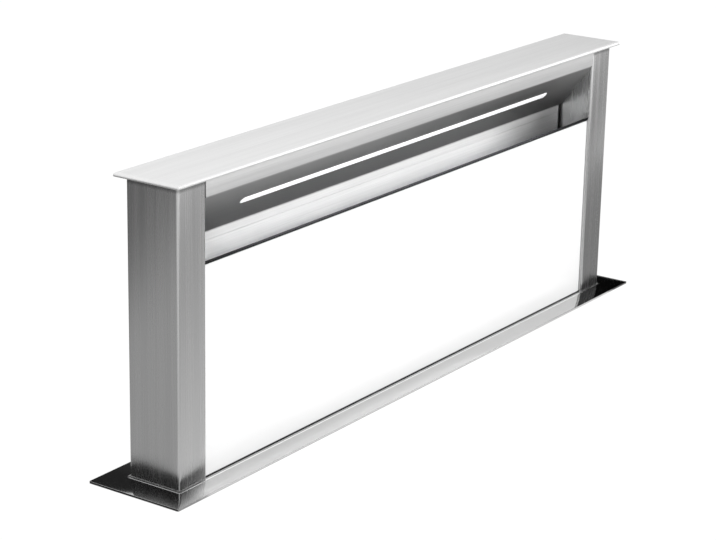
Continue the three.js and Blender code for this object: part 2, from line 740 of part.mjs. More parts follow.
// Outlet spigot: a plate over the casing's mouth with a round collar and the flaps' bar.
const outletMidY = -blowerDepth / 2;
const outletMidZ = -scrollLarge + outletHeight / 2;
const outlet = assembly(blower, outletX + gap, outletMidY, outletMidZ);
const spigotLength = 62;
const spigotWall = 2;
const [plateHalfY, plateHalfZ] = [88, outletHeight / 2];
const barHalf = 3;
const [barStart, barEnd] = [6, 16];
const spigotPlate = shapeOf([
  [-plateHalfY, -plateHalfZ], [plateHalfY, -plateHalfZ],
  [plateHalfY, plateHalfZ], [-plateHalfY, plateHalfZ]]);
spigotPlate.holes.push(circle(spigotRadius - spigotWall, THREE.Path));
piece(outlet, 'outlet_spigot', 'blackPlastic', join(
  extrudeAcross(spigotPlate, 0, casingWall, 12),
  turnedAcross(tube(spigotRadius - spigotWall, spigotRadius, 1, spigotLength), 40),
  block([barStart, -barHalf, -spigotRadius + 1], [barEnd, barHalf, spigotRadius - 1])));

// Backdraft flaps: two half discs that hang side by side on the bar and swing out with the air.
const flapPlane = 18;
const flapRadius = spigotRadius - spigotWall - 1.5;
const flapHalf = 0.8;
const flapOffset = 1.2; // from the bar's middle to each straight edge
for (const [place, sign] of [['front', -1], ['rear', 1]]) {
  const half = new THREE.Shape();
  half.absarc(0, 0, flapRadius, 0, Math.PI);
  const leaf = extrudeAcross(half, -flapHalf, flapHalf, 12).rotateX(-sign * Math.PI / 2);
  leaf.translate(0, sign * flapOffset, 0);
  piece(outlet, `backdraft_flap_${place}`, 'aluminium', leaf, flapPlane);
}

// ---------------------------------------------------------------- control box

const controlBox = assembly(vent, -420, -chassisY - steel - gap, -250);
const boxWidth = 190;
const boxHeight = 130;
const boxDepth = 46;
const boxWall = 2;
const boardMargin = 12;
const boardY = -18;
const glandHole = 9;
const glandX = 30;
piece(controlBox, 'control_box', 'blackPlastic', cut(
  block([0, -boxDepth, 0], [boxWidth, 0, boxHeight]),
  block([boxWall, -boxDepth - 5, boxWall], [boxWidth - boxWall, -boxWall, boxHeight - boxWall]),
  turned(rod(glandHole, -5, 5)).translate(glandX, -boxDepth / 2, 0)));
piece(controlBox, 'control_box_cover', 'blackPlastic', block(
  [0, -boxDepth - gap - boxWall, 0], [boxWidth, -boxDepth - gap, boxHeight]));
piece(controlBox, 'control_board', 'circuitBoard', block(
  [boardMargin, boardY, boardMargin],
  [boxWidth - boardMargin, boardY + boardThickness, boxHeight - boardMargin]));
const glandProfile = [
  [4, -18], [7.5, -18], [9, -14], [13, -14], [13, -gap], [glandHole - gap, -gap],
  [glandHole - gap, 5], [4, 5], [4, -18]];
piece(controlBox, 'cable_gland', 'blackPlastic', turned(glandProfile), glandX, -boxDepth / 2, 0);

export default vent;
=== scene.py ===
import math

import bmesh
import bpy
import mathutils
import numpy as np
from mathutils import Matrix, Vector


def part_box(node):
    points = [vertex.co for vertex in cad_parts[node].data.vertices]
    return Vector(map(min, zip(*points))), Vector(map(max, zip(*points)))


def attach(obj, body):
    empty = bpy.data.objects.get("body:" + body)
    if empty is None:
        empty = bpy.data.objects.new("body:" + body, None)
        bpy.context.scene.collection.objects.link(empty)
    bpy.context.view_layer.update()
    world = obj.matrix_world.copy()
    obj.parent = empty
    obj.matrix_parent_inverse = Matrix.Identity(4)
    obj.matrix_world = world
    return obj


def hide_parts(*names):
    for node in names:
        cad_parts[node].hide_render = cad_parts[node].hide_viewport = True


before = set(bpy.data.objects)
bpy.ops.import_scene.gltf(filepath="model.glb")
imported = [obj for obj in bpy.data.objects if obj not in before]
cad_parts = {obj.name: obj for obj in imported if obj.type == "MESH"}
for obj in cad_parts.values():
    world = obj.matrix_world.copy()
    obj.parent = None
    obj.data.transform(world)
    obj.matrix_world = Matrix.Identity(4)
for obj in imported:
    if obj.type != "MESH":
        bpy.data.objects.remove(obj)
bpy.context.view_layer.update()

scene = bpy.context.scene
scene.view_settings.view_transform = "Standard"
MM = 0.001

# ---- Camera ----
# It stands to the front left of the raised tower and looks down on the lid, tilted a degree off
# level, as the photograph was taken.
camera_place = (-2.5095, -1.6732, 1.1197)
camera_yaw, camera_pitch, camera_roll = math.radians(-55.29), math.radians(17.77), 0.020
photo_width, focal_pixels = 716, 2193.7

back = np.array([math.sin(camera_yaw) * math.cos(camera_pitch),
                 -math.cos(camera_yaw) * math.cos(camera_pitch), math.sin(camera_pitch)])
level = np.array([math.cos(camera_yaw), math.sin(camera_yaw), 0.0])
right = math.cos(camera_roll) * level + math.sin(camera_roll) * np.cross(back, level)
placing = np.eye(4)
placing[:3] = np.stack([right, np.cross(back, right), back, camera_place], axis=1)

camera_data = bpy.data.cameras.new("camera")
camera_data.sensor_width = 36.0
camera_data.lens = focal_pixels * camera_data.sensor_width / photo_width
camera_data.clip_end = 60.0
camera = bpy.data.objects.new("camera", camera_data)
camera.matrix_world = mathutils.Matrix(placing.tolist())
scene.collection.objects.link(camera)
scene.camera = camera


# ---- Worktop ----
# A plain pale plane round the flange. Seen from below it is clear, so that the chassis shows, and
# in polished metal it fades with distance like a studio table under one soft light.
def feed(made, *inputs, **named):
    """Fills a node's inputs, in their order or by name. None leaves one as it is, a node or one
    of its outputs is linked, and anything else is the input's own value."""
    named = {key.replace("_", " "): value for key, value in named.items()}
    for key, value in [*enumerate(inputs), *named.items()]:
        if isinstance(value, bpy.types.Node):
            value = value.outputs[0]
        if isinstance(value, bpy.types.NodeSocket):
            made.id_data.links.new(value, made.inputs[key])
        elif value is not None:
            made.inputs[key].default_value = value
    return made


def node(tree, kind, *inputs, **named):
    """A new shader node: names in small letters are its settings, and the rest are fed to it."""
    made = tree.nodes.new(kind if kind.startswith("NodeGroup") else f"ShaderNode{kind}")
    for key in [key for key in named if key.islower()]:
        setattr(made, key, named.pop(key))
    return feed(made, *inputs, **named)


def material(name, slot=None, **values):
    """A new material, its tree, and its Principled shader fed with values; slot is not used."""
    made = bpy.data.materials.new(name)
    made.use_nodes = True
    return made, made.node_tree, feed(made.node_tree.nodes["Principled BSDF"], **values)


def place_on(tree):
    """Where each point lies, in the piece's own coordinates."""
    return node(tree, "TexCoord").outputs["Object"]


def grey(tone):
    """A colour with its three channels alike."""
    return (tone, tone, tone, 1)


def show_unless(tree, gone, shader):
    """Makes the shader the tree's surface, clear wherever gone is 1."""
    shown = node(tree, "MixShader", gone, shader, node(tree, "BsdfTransparent"))
    feed(tree.nodes["Material Output"], Surface=shown)


def put_in_scene(name, mesh, shell, sharp_from):
    """Writes a shell into its mesh, smooth but for edges past that angle, and shows it."""
    shell.to_mesh(mesh)
    shell.free()
    mesh.polygons.foreach_set("use_smooth", np.ones(len(mesh.polygons), bool))
    mesh.set_sharp_from_angle(angle=math.radians(sharp_from))
    made = bpy.data.objects.new(name, mesh)
    scene.collection.objects.link(made)
    return made


def mesh_piece(name, points, faces, turned=True):
    """A mesh of points and faces with doubles merged, and faces turned outwards unless told not."""
    mesh = bpy.data.meshes.new(name)
    mesh.from_pydata(np.asarray(points, float).tolist(), [], [list(map(int, f)) for f in faces])
    shell = bmesh.new()
    shell.from_mesh(mesh)
    bmesh.ops.remove_doubles(shell, verts=shell.verts, dist=1e-6)
    bare_edges = [edge for edge in shell.edges if not edge.link_faces]
    bmesh.ops.delete(shell, geom=bare_edges, context="EDGES")
    if turned:
        bmesh.ops.recalc_face_normals(shell, faces=shell.faces)
    return put_in_scene(name, mesh, shell, 30)


def level_corners(x0, y0, x1, y1, height):
    """The corners of a rectangle that lies flat and faces up."""
    return [(x0, y0, height), (x1, y0, height), (x1, y1, height), (x0, y1, height)]


reach, table_white = 6.0, 0.94
floor = mesh_piece("worktop_plane", level_corners(-reach, -reach, reach, reach, 0), [range(4)])
floor_look, tree, shader = material("worktop_white", Base_Color=grey(0.9), Roughness=0.9)

# Painted light in metal: the table's brightness there is an emission that stands in for the
# fall of one soft light. It fades with the distance in front of the tower, and behind it, and
# past its front edge the white studio floor begins.
front_fade, front_levels = (-0.15, -0.75), (0.74, 0.46)
edge_fade, studio_floor = (-1.10, -1.40), 1.4
behind_fade, behind_levels = (0.46, 0.80), (0.45, 0.15)
y = node(tree, "SeparateXYZ", place_on(tree)).outputs["Y"]
on_table = node(tree, "MapRange", y, *front_fade, *front_levels)
past_edge = node(tree, "MapRange", y, *edge_fade, 0.0, studio_floor - front_levels[1])
in_front = node(tree, "Math", on_table, past_edge, operation="ADD")
behind = node(tree, "MapRange", y, *behind_fade, *behind_levels)
is_behind = node(tree, "Math", y, 0.0, operation="GREATER_THAN")
brightness = node(tree, "Mix", is_behind, None, in_front, behind, data_type="FLOAT")
in_metal = node(tree, "Emission", Strength=brightness)

rays = node(tree, "LightPath").outputs
to_camera = node(tree, "AddShader", node(tree, "Emission", grey(1), table_white),
                 node(tree, "BsdfDiffuse", grey(0.08)))
seen = node(tree, "MixShader", rays["Is Camera Ray"], shader, to_camera)
mirrored = node(tree, "MixShader", rays["Is Glossy Ray"], seen, in_metal)
show_unless(tree, node(tree, "NewGeometry").outputs["Backfacing"], mirrored)
floor.data.materials.append(floor_look)

# ---- Studio ----
# A white room that in metal is brighter overhead than near the horizon, with one wide soft light
# over the lid, a black louvre round the vent, and cards that only metal and glass show.
sky_rise, sky_levels = (0.15, 0.5), (1.0, 1.30)
right_edge, right_levels = (0.72, 0.88), (1.0, 0.68)
world = bpy.data.worlds.new("studio")
world.use_nodes = True
scene.world = world
tree = world.node_tree
room = feed(tree.nodes["Background"], grey(1), 1.0)
way = node(tree, "SeparateXYZ", node(tree, "TexCoord").outputs["Generated"]).outputs
height_glow = node(tree, "MapRange", way["Z"], *sky_rise, *sky_levels)
right_fall = node(tree, "MapRange", way["X"], *right_edge, *right_levels)
sky = node(tree, "Math", height_glow, right_fall, operation="MULTIPLY")
to_metal = node(tree, "MixShader", node(tree, "LightPath").outputs["Is Glossy Ray"], room,
                node(tree, "Background", grey(1), sky))
feed(tree.nodes["World Output"], Surface=to_metal)


def soft_lamp(name, size, energy, place):
    """A rectangular area lamp that lights matt surfaces and doesn't show in metal."""
    data = bpy.data.lights.new(name, "AREA")
    data.shape = "RECTANGLE"
    data.size, data.size_y = size
    data.energy = energy
    made = bpy.data.objects.new(name, data)
    made.location = place
    made.visible_glossy = False
    scene.collection.objects.link(made)
    return made


soft_lamp("overhead", (3.0, 2.0), 14.0, (0.2, -0.3, 2.6))


def flag(name, corners, tone):
    """Cards that only show in metal and glass: four corners for each, and one grey. They are
    clear when seen from the side that their corners turn clockwise on, and to light that a matt
    surface has already scattered."""
    made = mesh_piece(name, corners, np.arange(len(corners)).reshape(-1, 4), turned=False)
    look, tree, _ = material(name)
    gone = node(tree, "Math", node(tree, "NewGeometry").outputs["Backfacing"],
                node(tree, "LightPath").outputs["Diffuse Depth"], operation="MAXIMUM", use_clamp=True)
    show_unless(tree, gone, node(tree, "Emission", grey(tone)))
    made.data.materials.append(look)
    made.visible_camera = made.visible_diffuse = made.visible_shadow = False


# The louvre's slats face down: what lies low and looks up mirrors them, and what stands high and
# looks down sees the table through them. Its front left corner is open.
slat_heights = np.arange(0.03, 0.50, 0.035)
x0, x1, y0, y1 = 1.09, 1.24, 0.59, 0.74
open_x, open_y = 0.72, 0.30
louvre_walls = [([(-x1, y0), (-x1, y1), (x1, y1), (x1, y0)], 0.035),
                ([(-open_x, -y1), (-open_x, -y0), (x1, -y0), (x1, -y1)], 0.012),
                ([(x0, -y0), (x0, y0), (x1, y0), (x1, -y0)], 0.004),
                ([(-x1, -open_y), (-x1, y0), (-x0, y0), (-x0, -open_y)], 0.012)]
for number, (slat, tone) in enumerate(louvre_walls, 1):
    flag(f"louvre_wall_{number}", [(x, y, z) for z in slat_heights for x, y in slat], tone)

# Two grey cards lie on the table in front of the right-hand column, and a white one before the
# left-hand column's front corner. A dark strip along the flange's left end paints a dark
# reflection into the metal there, and a light one along its front paints a highlight on the
# flange's front edge; an upright soft box to the front right lights the lid's edge.
on_worktop, beside_flange = 1.0 * MM, 0.6 * MM
for name, tone, *edges in (
        ("right_card", 0.30, 0.535, -0.47, 1.30, -0.045, on_worktop),
        ("far_right_card", 0.26, 1.25, -1.05, 2.60, -0.60, on_worktop),
        ("corner_card", 0.86, -2.2, -2.2, -0.75, -0.35, on_worktop),
        ("end_seam", 0.02, -0.590, -0.076, -0.5812, 0.095, beside_flange),
        ("front_seam", 1.05, -0.520, -0.0805, 0.520, -0.0737, beside_flange)):
    flag(name, level_corners(*edges), tone)
flag("soft_box", [(1.4, -2.2, 0.4), (1.4, -2.2, 2.0), (2.8, -0.6, 2.0), (2.8, -0.6, 0.4)], 2.4)


# ---- Top lid ----
# A brushed stainless plate with softly rounded edges that overhangs the columns; its grain runs
# along its length. It is screwed down from inside, so its top is bare.
def round_rectangle(width, depth, radius, steps=6):
    """A rectangle round (0, 0): each of its four corners is a quarter circle of points."""
    turn = np.linspace(0, math.pi / 2, steps + 1)
    angle = turn[None, :] + np.arange(4)[:, None] * math.pi / 2
    sign = np.array([[1, 1], [-1, 1], [-1, -1], [1, -1]])
    centre = sign * (np.array([width, depth]) / 2 - radius)
    arc = radius * np.stack([np.cos(angle), np.sin(angle)], axis=-1)
    return (centre[:, None, :] + arc).reshape(-1, 2)


def flat_ring(outline, height):
    """The outline laid at one height."""
    return np.column_stack([outline, np.full(len(outline), height)])


def inset_rings(size, radius, profile, steps=6):
    """Rings of a rounded rectangle: each pair of the profile draws it in and gives its height."""
    return [flat_ring(round_rectangle(size[0] - 2 * inset, size[1] - 2 * inset,
                                      max(radius - inset, 0.05 * MM), steps), height)
            for inset, height in profile]


def rounding(radius, top, steps):
    """A quarter circle from the side to the top, as pairs of inset and height."""
    return [(radius * (1 - math.cos(a)), top - radius * (1 - math.sin(a)))
            for a in np.linspace(0, math.pi / 2, steps)]


def shape(rings, loop=False):
    """Rings of points, each joined to the next by quads, as points and faces. The last ring
    meets the first in a loop; otherwise one flat face closes each end."""
    rings = np.asarray(rings, float)
    count, around = rings.shape[:2]
    index = np.arange(count * around).reshape(count, around)
    lower = index if loop else index[:-1]
    upper = np.roll(index, -1, axis=0) if loop else index[1:]
    quads = np.stack([lower, np.roll(lower, -1, 1), np.roll(upper, -1, 1), upper], -1)
    ends = [] if loop else [index[0][::-1].tolist(), index[-1].tolist()]
    return rings.reshape(-1, 3), quads.reshape(-1, 4).tolist() + ends


def skin(name, rings, loop=False):
    """A piece whose surface is carried over rings of points."""
    return mesh_piece(name, *shape(rings, loop))


def grain_group():
    """Brushed grain: fine streaks along one direction. Vector is a place already stretched along
    the streaks; Shade, Rough and Height vary between 0 and 1 over the surface."""
    group = bpy.data.node_groups.new("brushed_grain", "ShaderNodeTree")
    sockets = {"Vector": ("INPUT", "Vector"), "Cloud": ("INPUT", "Float"),
               **{output: ("OUTPUT", "Float") for output in ("Shade", "Rough", "Height")}}
    for name, (way, kind) in sockets.items():
        group.interface.new_socket(name, in_out=way, socket_type=f"NodeSocket{kind}")
    start = node(group, "NodeGroupInput").outputs
    streak = node(group, "TexNoise", start["Vector"], None, 1.0, 5.0, 0.62)
    broad = node(group, "TexNoise", start["Vector"], None, 0.12, 2.0)
    blend = node(group, "Mix", start["Cloud"], None, streak, broad, data_type="FLOAT")
    node(group, "NodeGroupOutput", blend, blend, streak)
    return group


brushed_grain = grain_group()


def brushed_steel(name, along, shade, roughness, contrast=0.10, groove=0.00002, painted_light_by_height=None):
    """Brushed stainless steel with its grain along x or z. shade is the steel's own grey; the
    grain moves it by contrast, moves the roughness a little and cuts fine grooves. Its last
    argument lists heights and shares: the grey is multiplied by the share that lies between
    them, which paints light and shade onto the steel by height."""
    made, tree, shader = material(name, "brushed_stainless", Metallic=1.0, Anisotropic=0.72)
    across_grain, along_grain, grain_mid = 900.0, 900.0 / 160, (0.3, 0.7)
    axis = np.array({"x": (1, 0, 0), "z": (0, 0, 1)}[along])
    stretched = node(tree, "Mapping", place_on(tree), (11.3, 7.7, 5.1), None,
                     np.where(axis, along_grain, across_grain))
    grain = node(tree, "Group", node_tree=brushed_grain, Vector=stretched, Cloud=0.35).outputs
    tone = node(tree, "MapRange", grain["Shade"], *grain_mid,
                shade * (1 - contrast), shade * (1 + contrast))
    # Light and shade painted into the grey by height.
    if painted_light_by_height:
        heights, shares = np.array(painted_light_by_height).T
        height = node(tree, "SeparateXYZ", place_on(tree)).outputs["Z"]
        fall = node(tree, "ValToRGB", node(tree, "MapRange", height, heights[0], heights[-1]))
        stops = fall.color_ramp.elements
        for position in (heights[1:-1] - heights[0]) / (heights[-1] - heights[0]):
            stops.new(position)
        for stop, share in zip(stops, shares):
            stop.color = grey(share)
        tone = node(tree, "Math", tone, fall, operation="MULTIPLY")
    rough = node(tree, "MapRange", grain["Rough"], *grain_mid, roughness - 0.04, roughness + 0.04)
    relief = node(tree, "Bump", Distance=groove, Height=grain["Height"])
    across = node(tree, "VectorMath", node(tree, "NewGeometry").outputs["Normal"], axis,
                  operation="CROSS_PRODUCT")
    feed(shader, Base_Color=tone, Roughness=rough, Normal=relief, Tangent=across)
    return made


def box(name):
    """The low and high corners of one of the frame's solids."""
    return np.array([list(corner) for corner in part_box(name)])


def dress(piece, look, body, *nodes, slot=None):
    """Gives a finished piece its material and its body, and hides the nodes it stands for; slot is not
    used.
    """
    piece.data.materials.append(look)
    if nodes:
        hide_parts(*nodes)
    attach(piece, body)


lid_low, lid_high = box("top_lid")
lid_corner, lid_edge = 2.0 * MM, 4.5 * MM
lid_profile = [(0.9 * MM, lid_low[2]), (0.25 * MM, lid_low[2] + 0.3 * MM),
               *rounding(lid_edge, lid_high[2], 10)]
lid_steel = brushed_steel("lid_steel", "x", 0.69, 0.38, contrast=0.08)
dress(skin("lid_plate", inset_rings(lid_high - lid_low, lid_corner, lid_profile)),
      lid_steel, "tower", "top_lid")

# ---- Columns ----
# Box sections folded from 1.5 mm brushed sheet, grain upright, with a bend of 3.5 mm at each
# corner. They carry the lid and run on down through the slot.
sheet, bend, cut_edge = 1.5 * MM, 3.5 * MM, 0.2 * MM
column_top, under_lid = box("left_column")[1, 2], 9 * MM
# Painted shade: the grey is darker in a band just under the lid, as the lid's shadow, and a little
# darker towards the foot.
column_steel = brushed_steel(
    "column_steel", "z", 0.60, 0.26, contrast=0.07, groove=0.00001,
    painted_light_by_height=[(0, 0.86), (45 * MM, 1.0), (column_top - under_lid, 1.0),
            (column_top - under_lid / 1.4, 0.6), (column_top, 0.4)])
for side in ("left", "right"):
    low, high = box(f"{side}_column")
    size, foot, top = (high - low)[:2], low[2], high[2]
    face = [(cut_edge, foot), (0, foot + cut_edge), (0, top - cut_edge), (cut_edge, top)]
    rings = inset_rings(size, bend, face, 8)
    rings += inset_rings(size - 2 * sheet, bend - sheet, [(-inset, z) for inset, z in face[::-1]], 8)
    rings = np.array(rings) + [*(low + high)[:2] / 2, 0]
    dress(skin(f"{side}_column_shell", rings, loop=True), column_steel, "tower", f"{side}_column")


# ---- Light housing ----
# One brushed sheet with a top return, the fascia, the slope with the light's slot cut in it, and
# a lip that meets the inner wall. Its bends have a radius of 2 mm.
def bent_line(corners, radius, steps=5):
    """A line of straight runs with an arc at each bend: places and left-hand normals. Each is
    worked out as one complex number, and a bend turns its normals by e to the angle times i."""
    corners = np.asarray(corners, float) @ [1, 1j]
    ways = np.diff(corners) / np.abs(np.diff(corners))
    places, normals = [corners[:1]], [1j * ways[:1]]
    for corner, way, after in zip(corners[1:], ways, ways[1:]):
        turn = np.angle(after / way)
        inside = math.copysign(radius, turn)
        middle = corner - radius * math.tan(abs(turn) / 2) * way + inside * 1j * way
        normals.append(1j * way * np.exp(1j * np.linspace(0, turn, steps + 1)))
        places.append(middle - inside * normals[-1])
    places, normals = places + [corners[-1:]], normals + [1j * ways[-1:]]
    return [np.column_stack([line.real, line.imag]) for line in map(np.concatenate, (places, normals))]


def sheet_shell(name, rows, inward, slot_row=None, slot_open=None):
    """A thin sheet from its outer face: rows of points along x, and each row's way inwards in
    the yz plane. After slot_row it is open wherever slot_open says so."""
    count, along = rows.shape[:2]
    outer = np.arange(count * along).reshape(count, along)
    inner = outer + count * along
    offset = thin * np.column_stack([np.zeros(count), inward])[:, None, :]
    points = np.concatenate([rows.reshape(-1, 3), (rows + offset).reshape(-1, 3)])

    def strip(a, b):
        return np.stack([a[:-1], a[1:], b[1:], b[:-1]], axis=1)

    faces = [strip(inner[0], outer[0]), strip(outer[-1], inner[-1])]
    for i in range(count - 1):
        if i == slot_row:
            faces += [strip(outer[k], inner[k])[slot_open] for k in (i, i + 1)]
            continue
        faces += [strip(outer[i], outer[i + 1]), strip(inner[i + 1], inner[i])]
        faces += [np.array([[outer[i, e], outer[i + 1, e], inner[i + 1, e], inner[i, e]]])
                  for e in (0, -1)]
    return mesh_piece(name, points, np.concatenate(faces))


def along_x(line, stations):
    """Each (y, z) place of the line carried along x: rows of points."""
    rows = np.empty((len(line), len(stations), 3))
    rows[:, :, 0] = stations
    rows[:, :, 1:] = line[:, None, :]
    return rows


housing_low, housing_high = box("light_housing")
thin, sheet_bend, housing_lip, top_return, fascia_drop = 1.2 * MM, 2 * MM, 12 * MM, 26 * MM, 24.7 * MM
front_y, housing_top, half_bay = housing_low[1], housing_high[2], housing_high[0]
fascia_foot = lid_low[2] - fascia_drop
wall_face, slope_foot = housing_high[1] - thin, housing_low[2] + housing_lip
slope_way = np.array([wall_face - front_y, slope_foot - fascia_foot])
slope_way /= np.linalg.norm(slope_way)
slope_back = np.array([-slope_way[1], slope_way[0]])
light_length, light_width, light_drop = 768 * MM, 11.5 * MM, 40.3 * MM
light_middle = np.array([front_y, fascia_foot]) + light_drop * slope_way

line, inward = bent_line([
    [front_y + top_return, housing_top], [front_y, housing_top], [front_y, fascia_foot],
    [wall_face, slope_foot], [wall_face, slope_foot - housing_lip]], sheet_bend)
slope_start = 13  # so many of the line's points lie above the slope
lip_start = slope_start + 4  # in the last bend, once the slot's two edges are put in

# The slot has round ends. The sheet reaches a little past the bay's ends and closes the joint
# with the columns, but its lip stops short of them, as the inner wall does.
joint, joint_cover = 7 * MM, 0.25 * MM
round_end = light_width / 2
arc = np.linspace(0, math.pi / 2, 9)
left_arc = round_end - light_length / 2 - round_end * np.cos(arc)
half_slot = np.concatenate([[0], round_end * np.sin(arc), round_end * np.sin(arc[::-1]), [0]])
sheet_end = half_bay + joint_cover
stations = np.concatenate([[-sheet_end], left_arc, -left_arc[::-1], [sheet_end]])
rows = along_x(line, stations)
slot_edges = along_x(np.zeros((2, 2)), stations)
for edge, sign in enumerate((-1, 1)):
    slot_edges[edge, :, 1:] = light_middle + sign * half_slot[:, None] * slope_way
rows = np.concatenate([rows[:slope_start], slot_edges, rows[slope_start:]])
inward = np.concatenate([inward[:slope_start], [slope_back] * 2, inward[slope_start:]])
rows[lip_start:, 0, 0], rows[lip_start:, -1, 0] = joint - half_bay, half_bay - joint
slot_open = np.maximum(half_slot[:-1], half_slot[1:]) > 0.1 * MM
# Painted light and shade by height: the lip is brighter, the slope much darker, darkest at its foot, and
# the fascia and top return brighter again.
housing_steel = brushed_steel(
    "housing_steel", "x", 0.60, 0.36,
    painted_light_by_height=[(slope_foot - 2 * MM, 1.25), (slope_foot + 2 * MM, 0.41), (light_middle[1], 0.53),
            (fascia_foot - 3 * MM, 0.60), (fascia_foot + 1 * MM, 1.10)])
dress(sheet_shell("light_housing_sheet", rows, inward, slope_start, slot_open),
      housing_steel, "tower", "light_housing")


# ---- LED line ----
# An opal bar with round ends that shines through the slot, held by a wider flange behind the
# sheet. A lamp just before it lights the inside of the intake and rises with the tower.
def stadium(length, width, steps=10):
    """Two half circles joined by straight sides, round (0, 0)."""
    angle = np.linspace(-math.pi / 2, math.pi / 2, steps + 1)
    cap = width / 2 * np.stack([np.cos(angle), np.sin(angle)], axis=1)
    shift = np.array([(length - width) / 2, 0.0])
    return np.concatenate([cap + shift, -cap - shift])


def in_slope(outline, rise):
    """An outline drawn along x and down the slope, raised off the sheet's face."""
    down = light_middle + outline[:, 1:] * slope_way - rise * slope_back
    return np.column_stack([outline[:, 0], down])


slack, holder_rises, lamp_gap = 0.3 * MM, (-3.2 * MM, -1.5 * MM), 1.5 * MM
bar = [(slack, -1.5 * MM), (slack, 0.1 * MM), (slack + 0.3 * MM, 0.4 * MM),
       (slack + 1.2 * MM, 0.55 * MM), (slack + 3.5 * MM, 0.6 * MM)]
holder = stadium(light_length + 8 * MM, light_width + 7 * MM)
rings = [in_slope(holder, rise) for rise in holder_rises]
rings += [in_slope(stadium(light_length - 2 * inset, light_width - 2 * inset), rise)
          for inset, rise in bar]
opal, tree, shader = material("opal_lit", "opal_diffuser", Base_Color=grey(0.82), Roughness=0.35,
                              Emission_Strength=0.42)
mottle = node(tree, "TexNoise", place_on(tree), None, 220.0)
feed(shader, Emission_Color=node(tree, "MapRange", mottle, None, None, 0.96, 1.0))
dress(skin("led_bar", rings), opal, "tower", "led_diffuser")

lamp_place = light_middle - lamp_gap * slope_back
lamp = soft_lamp("led_lamp", (light_length, light_width), 2.9, (0, *lamp_place))
lamp.rotation_euler = mathutils.Vector((0, *-slope_back)).to_track_quat("-Z", "Y").to_euler()
lamp.visible_camera = False
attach(lamp, "tower")


# ---- Inner back wall ----
# A brushed sheet behind the intake, which leads the air down; it stops short of the columns and
# leaves a dark joint at each end. A folded ledge on it carries the filters.
def bay_sheet(name, corners):
    """A sheet folded along x that ends at the joints on either side of the bay."""
    line, inward = bent_line(corners, sheet_bend)
    return sheet_shell(name, along_x(line, [joint - half_bay, half_bay - joint]), inward)


wall_low, wall_high = box("inner_back_wall")
glass_low, glass_high = box("glass_panel")
glass_top = glass_high[2]
# Painted shade and light by height: the wall is dark low down behind the glass, as the panel's shadow,
# and brighter in a band just under the glass's top.
wall_steel = brushed_steel(
    "wall_steel", "x", 0.76, 0.34,
    painted_light_by_height=[(glass_top - 47 * MM, 0.3), (glass_top - 31 * MM, 1.2), (glass_top - 14 * MM, 1.22),
            (glass_top - 9 * MM, 1.1), (glass_top - 4 * MM, 1.05), (glass_top + 50 * MM, 1.03)])
dress(bay_sheet("inner_wall_sheet", [[wall_face, wall_high[2]], [wall_face, wall_low[2]]]),
      wall_steel, "tower", "inner_back_wall")
ledge_height, ledge_front, ledge_tab = 204 * MM, -4 * MM, 9 * MM
ledge_back, ledge_top = wall_face - 0.1 * MM, ledge_height + thin
dress(bay_sheet("filter_ledge", [[ledge_back, ledge_height - ledge_tab], [ledge_back, ledge_top],
                                 [ledge_front, ledge_top]]), wall_steel, "tower")

# ---- Glass panel ----
# Toughened glass, painted white on its back, with ground and polished edges. It hangs on hooks a
# little behind the column faces; a dark trim caps it and a rubber strip seals its foot.
ground, glass_corner = 0.7 * MM, 1.5 * MM
glass_width, glass_thickness, glass_height = glass_high - glass_low
glass_profile = [(ground, 0), (0, ground), (0, glass_thickness - ground), (ground, glass_thickness)]
rings = np.array([flat_ring(round_rectangle(glass_width - 2 * inset, glass_height - 2 * inset,
                                            glass_corner, 4), depth)
                  for inset, depth in glass_profile])
middle = (glass_low + glass_high) / 2
white_glass, *_ = material("white_glass", "white_glass", Base_Color=grey(0.98), Roughness=0.10,
                           Specular_IOR_Level=0.25)
dress(skin("glass_sheet", rings[..., [0, 2, 1]] + [middle[0], glass_low[1], middle[2]]),
      white_glass, "front_panel", "glass_panel")

# ---- Worktop flange ----
# A polished stainless plate with eased edges, a slot for the tower and a bead pressed up round
# each end of the slot. It mirrors the columns and the room behind.
flange_low, flange_high = box("worktop_flange")
flange_foot, flange_top = flange_low[2], flange_high[2]
tower_half = box("right_column")[1, 0]
slot_room, slot_corner, slot_edge, rim = 3 * MM, 4.5 * MM, 0.35 * MM, 0.4 * MM
slot_size = (box("right_column")[1] - box("left_column")[0])[:2] + slot_room
flange_rings = inset_rings(flange_high - flange_low, 2 * MM,
                           [(0, flange_foot), *rounding(rim, flange_top, 6)], 8)
flange_rings += inset_rings(slot_size, slot_corner, [
    (-slot_edge, flange_top), (0, flange_top - slot_edge), (0, flange_foot)], 8)

# Painted shade: its wings past the tower are darker than its middle. Painted light: to light
# that a matt surface has scattered it is bright.
middle_tone, wing_painted_shade = 0.60, 0.38
polished, tree, shader = material("flange_polished", "polished_stainless", Metallic=1.0,
                                  Roughness=0.06)
from_middle = node(tree, "Math", node(tree, "SeparateXYZ", place_on(tree)).outputs["X"],
                   operation="ABSOLUTE")
shade = node(tree, "MapRange", from_middle, tower_half - 24 * MM, tower_half + 1 * MM,
             middle_tone, wing_painted_shade)
feed(shader, Base_Color=node(tree, "Math", shade, node(tree, "LightPath").outputs["Diffuse Depth"],
                             operation="MAXIMUM", use_clamp=True))
dress(skin("flange_plate", flange_rings, loop=True), polished, "chassis", "worktop_flange")

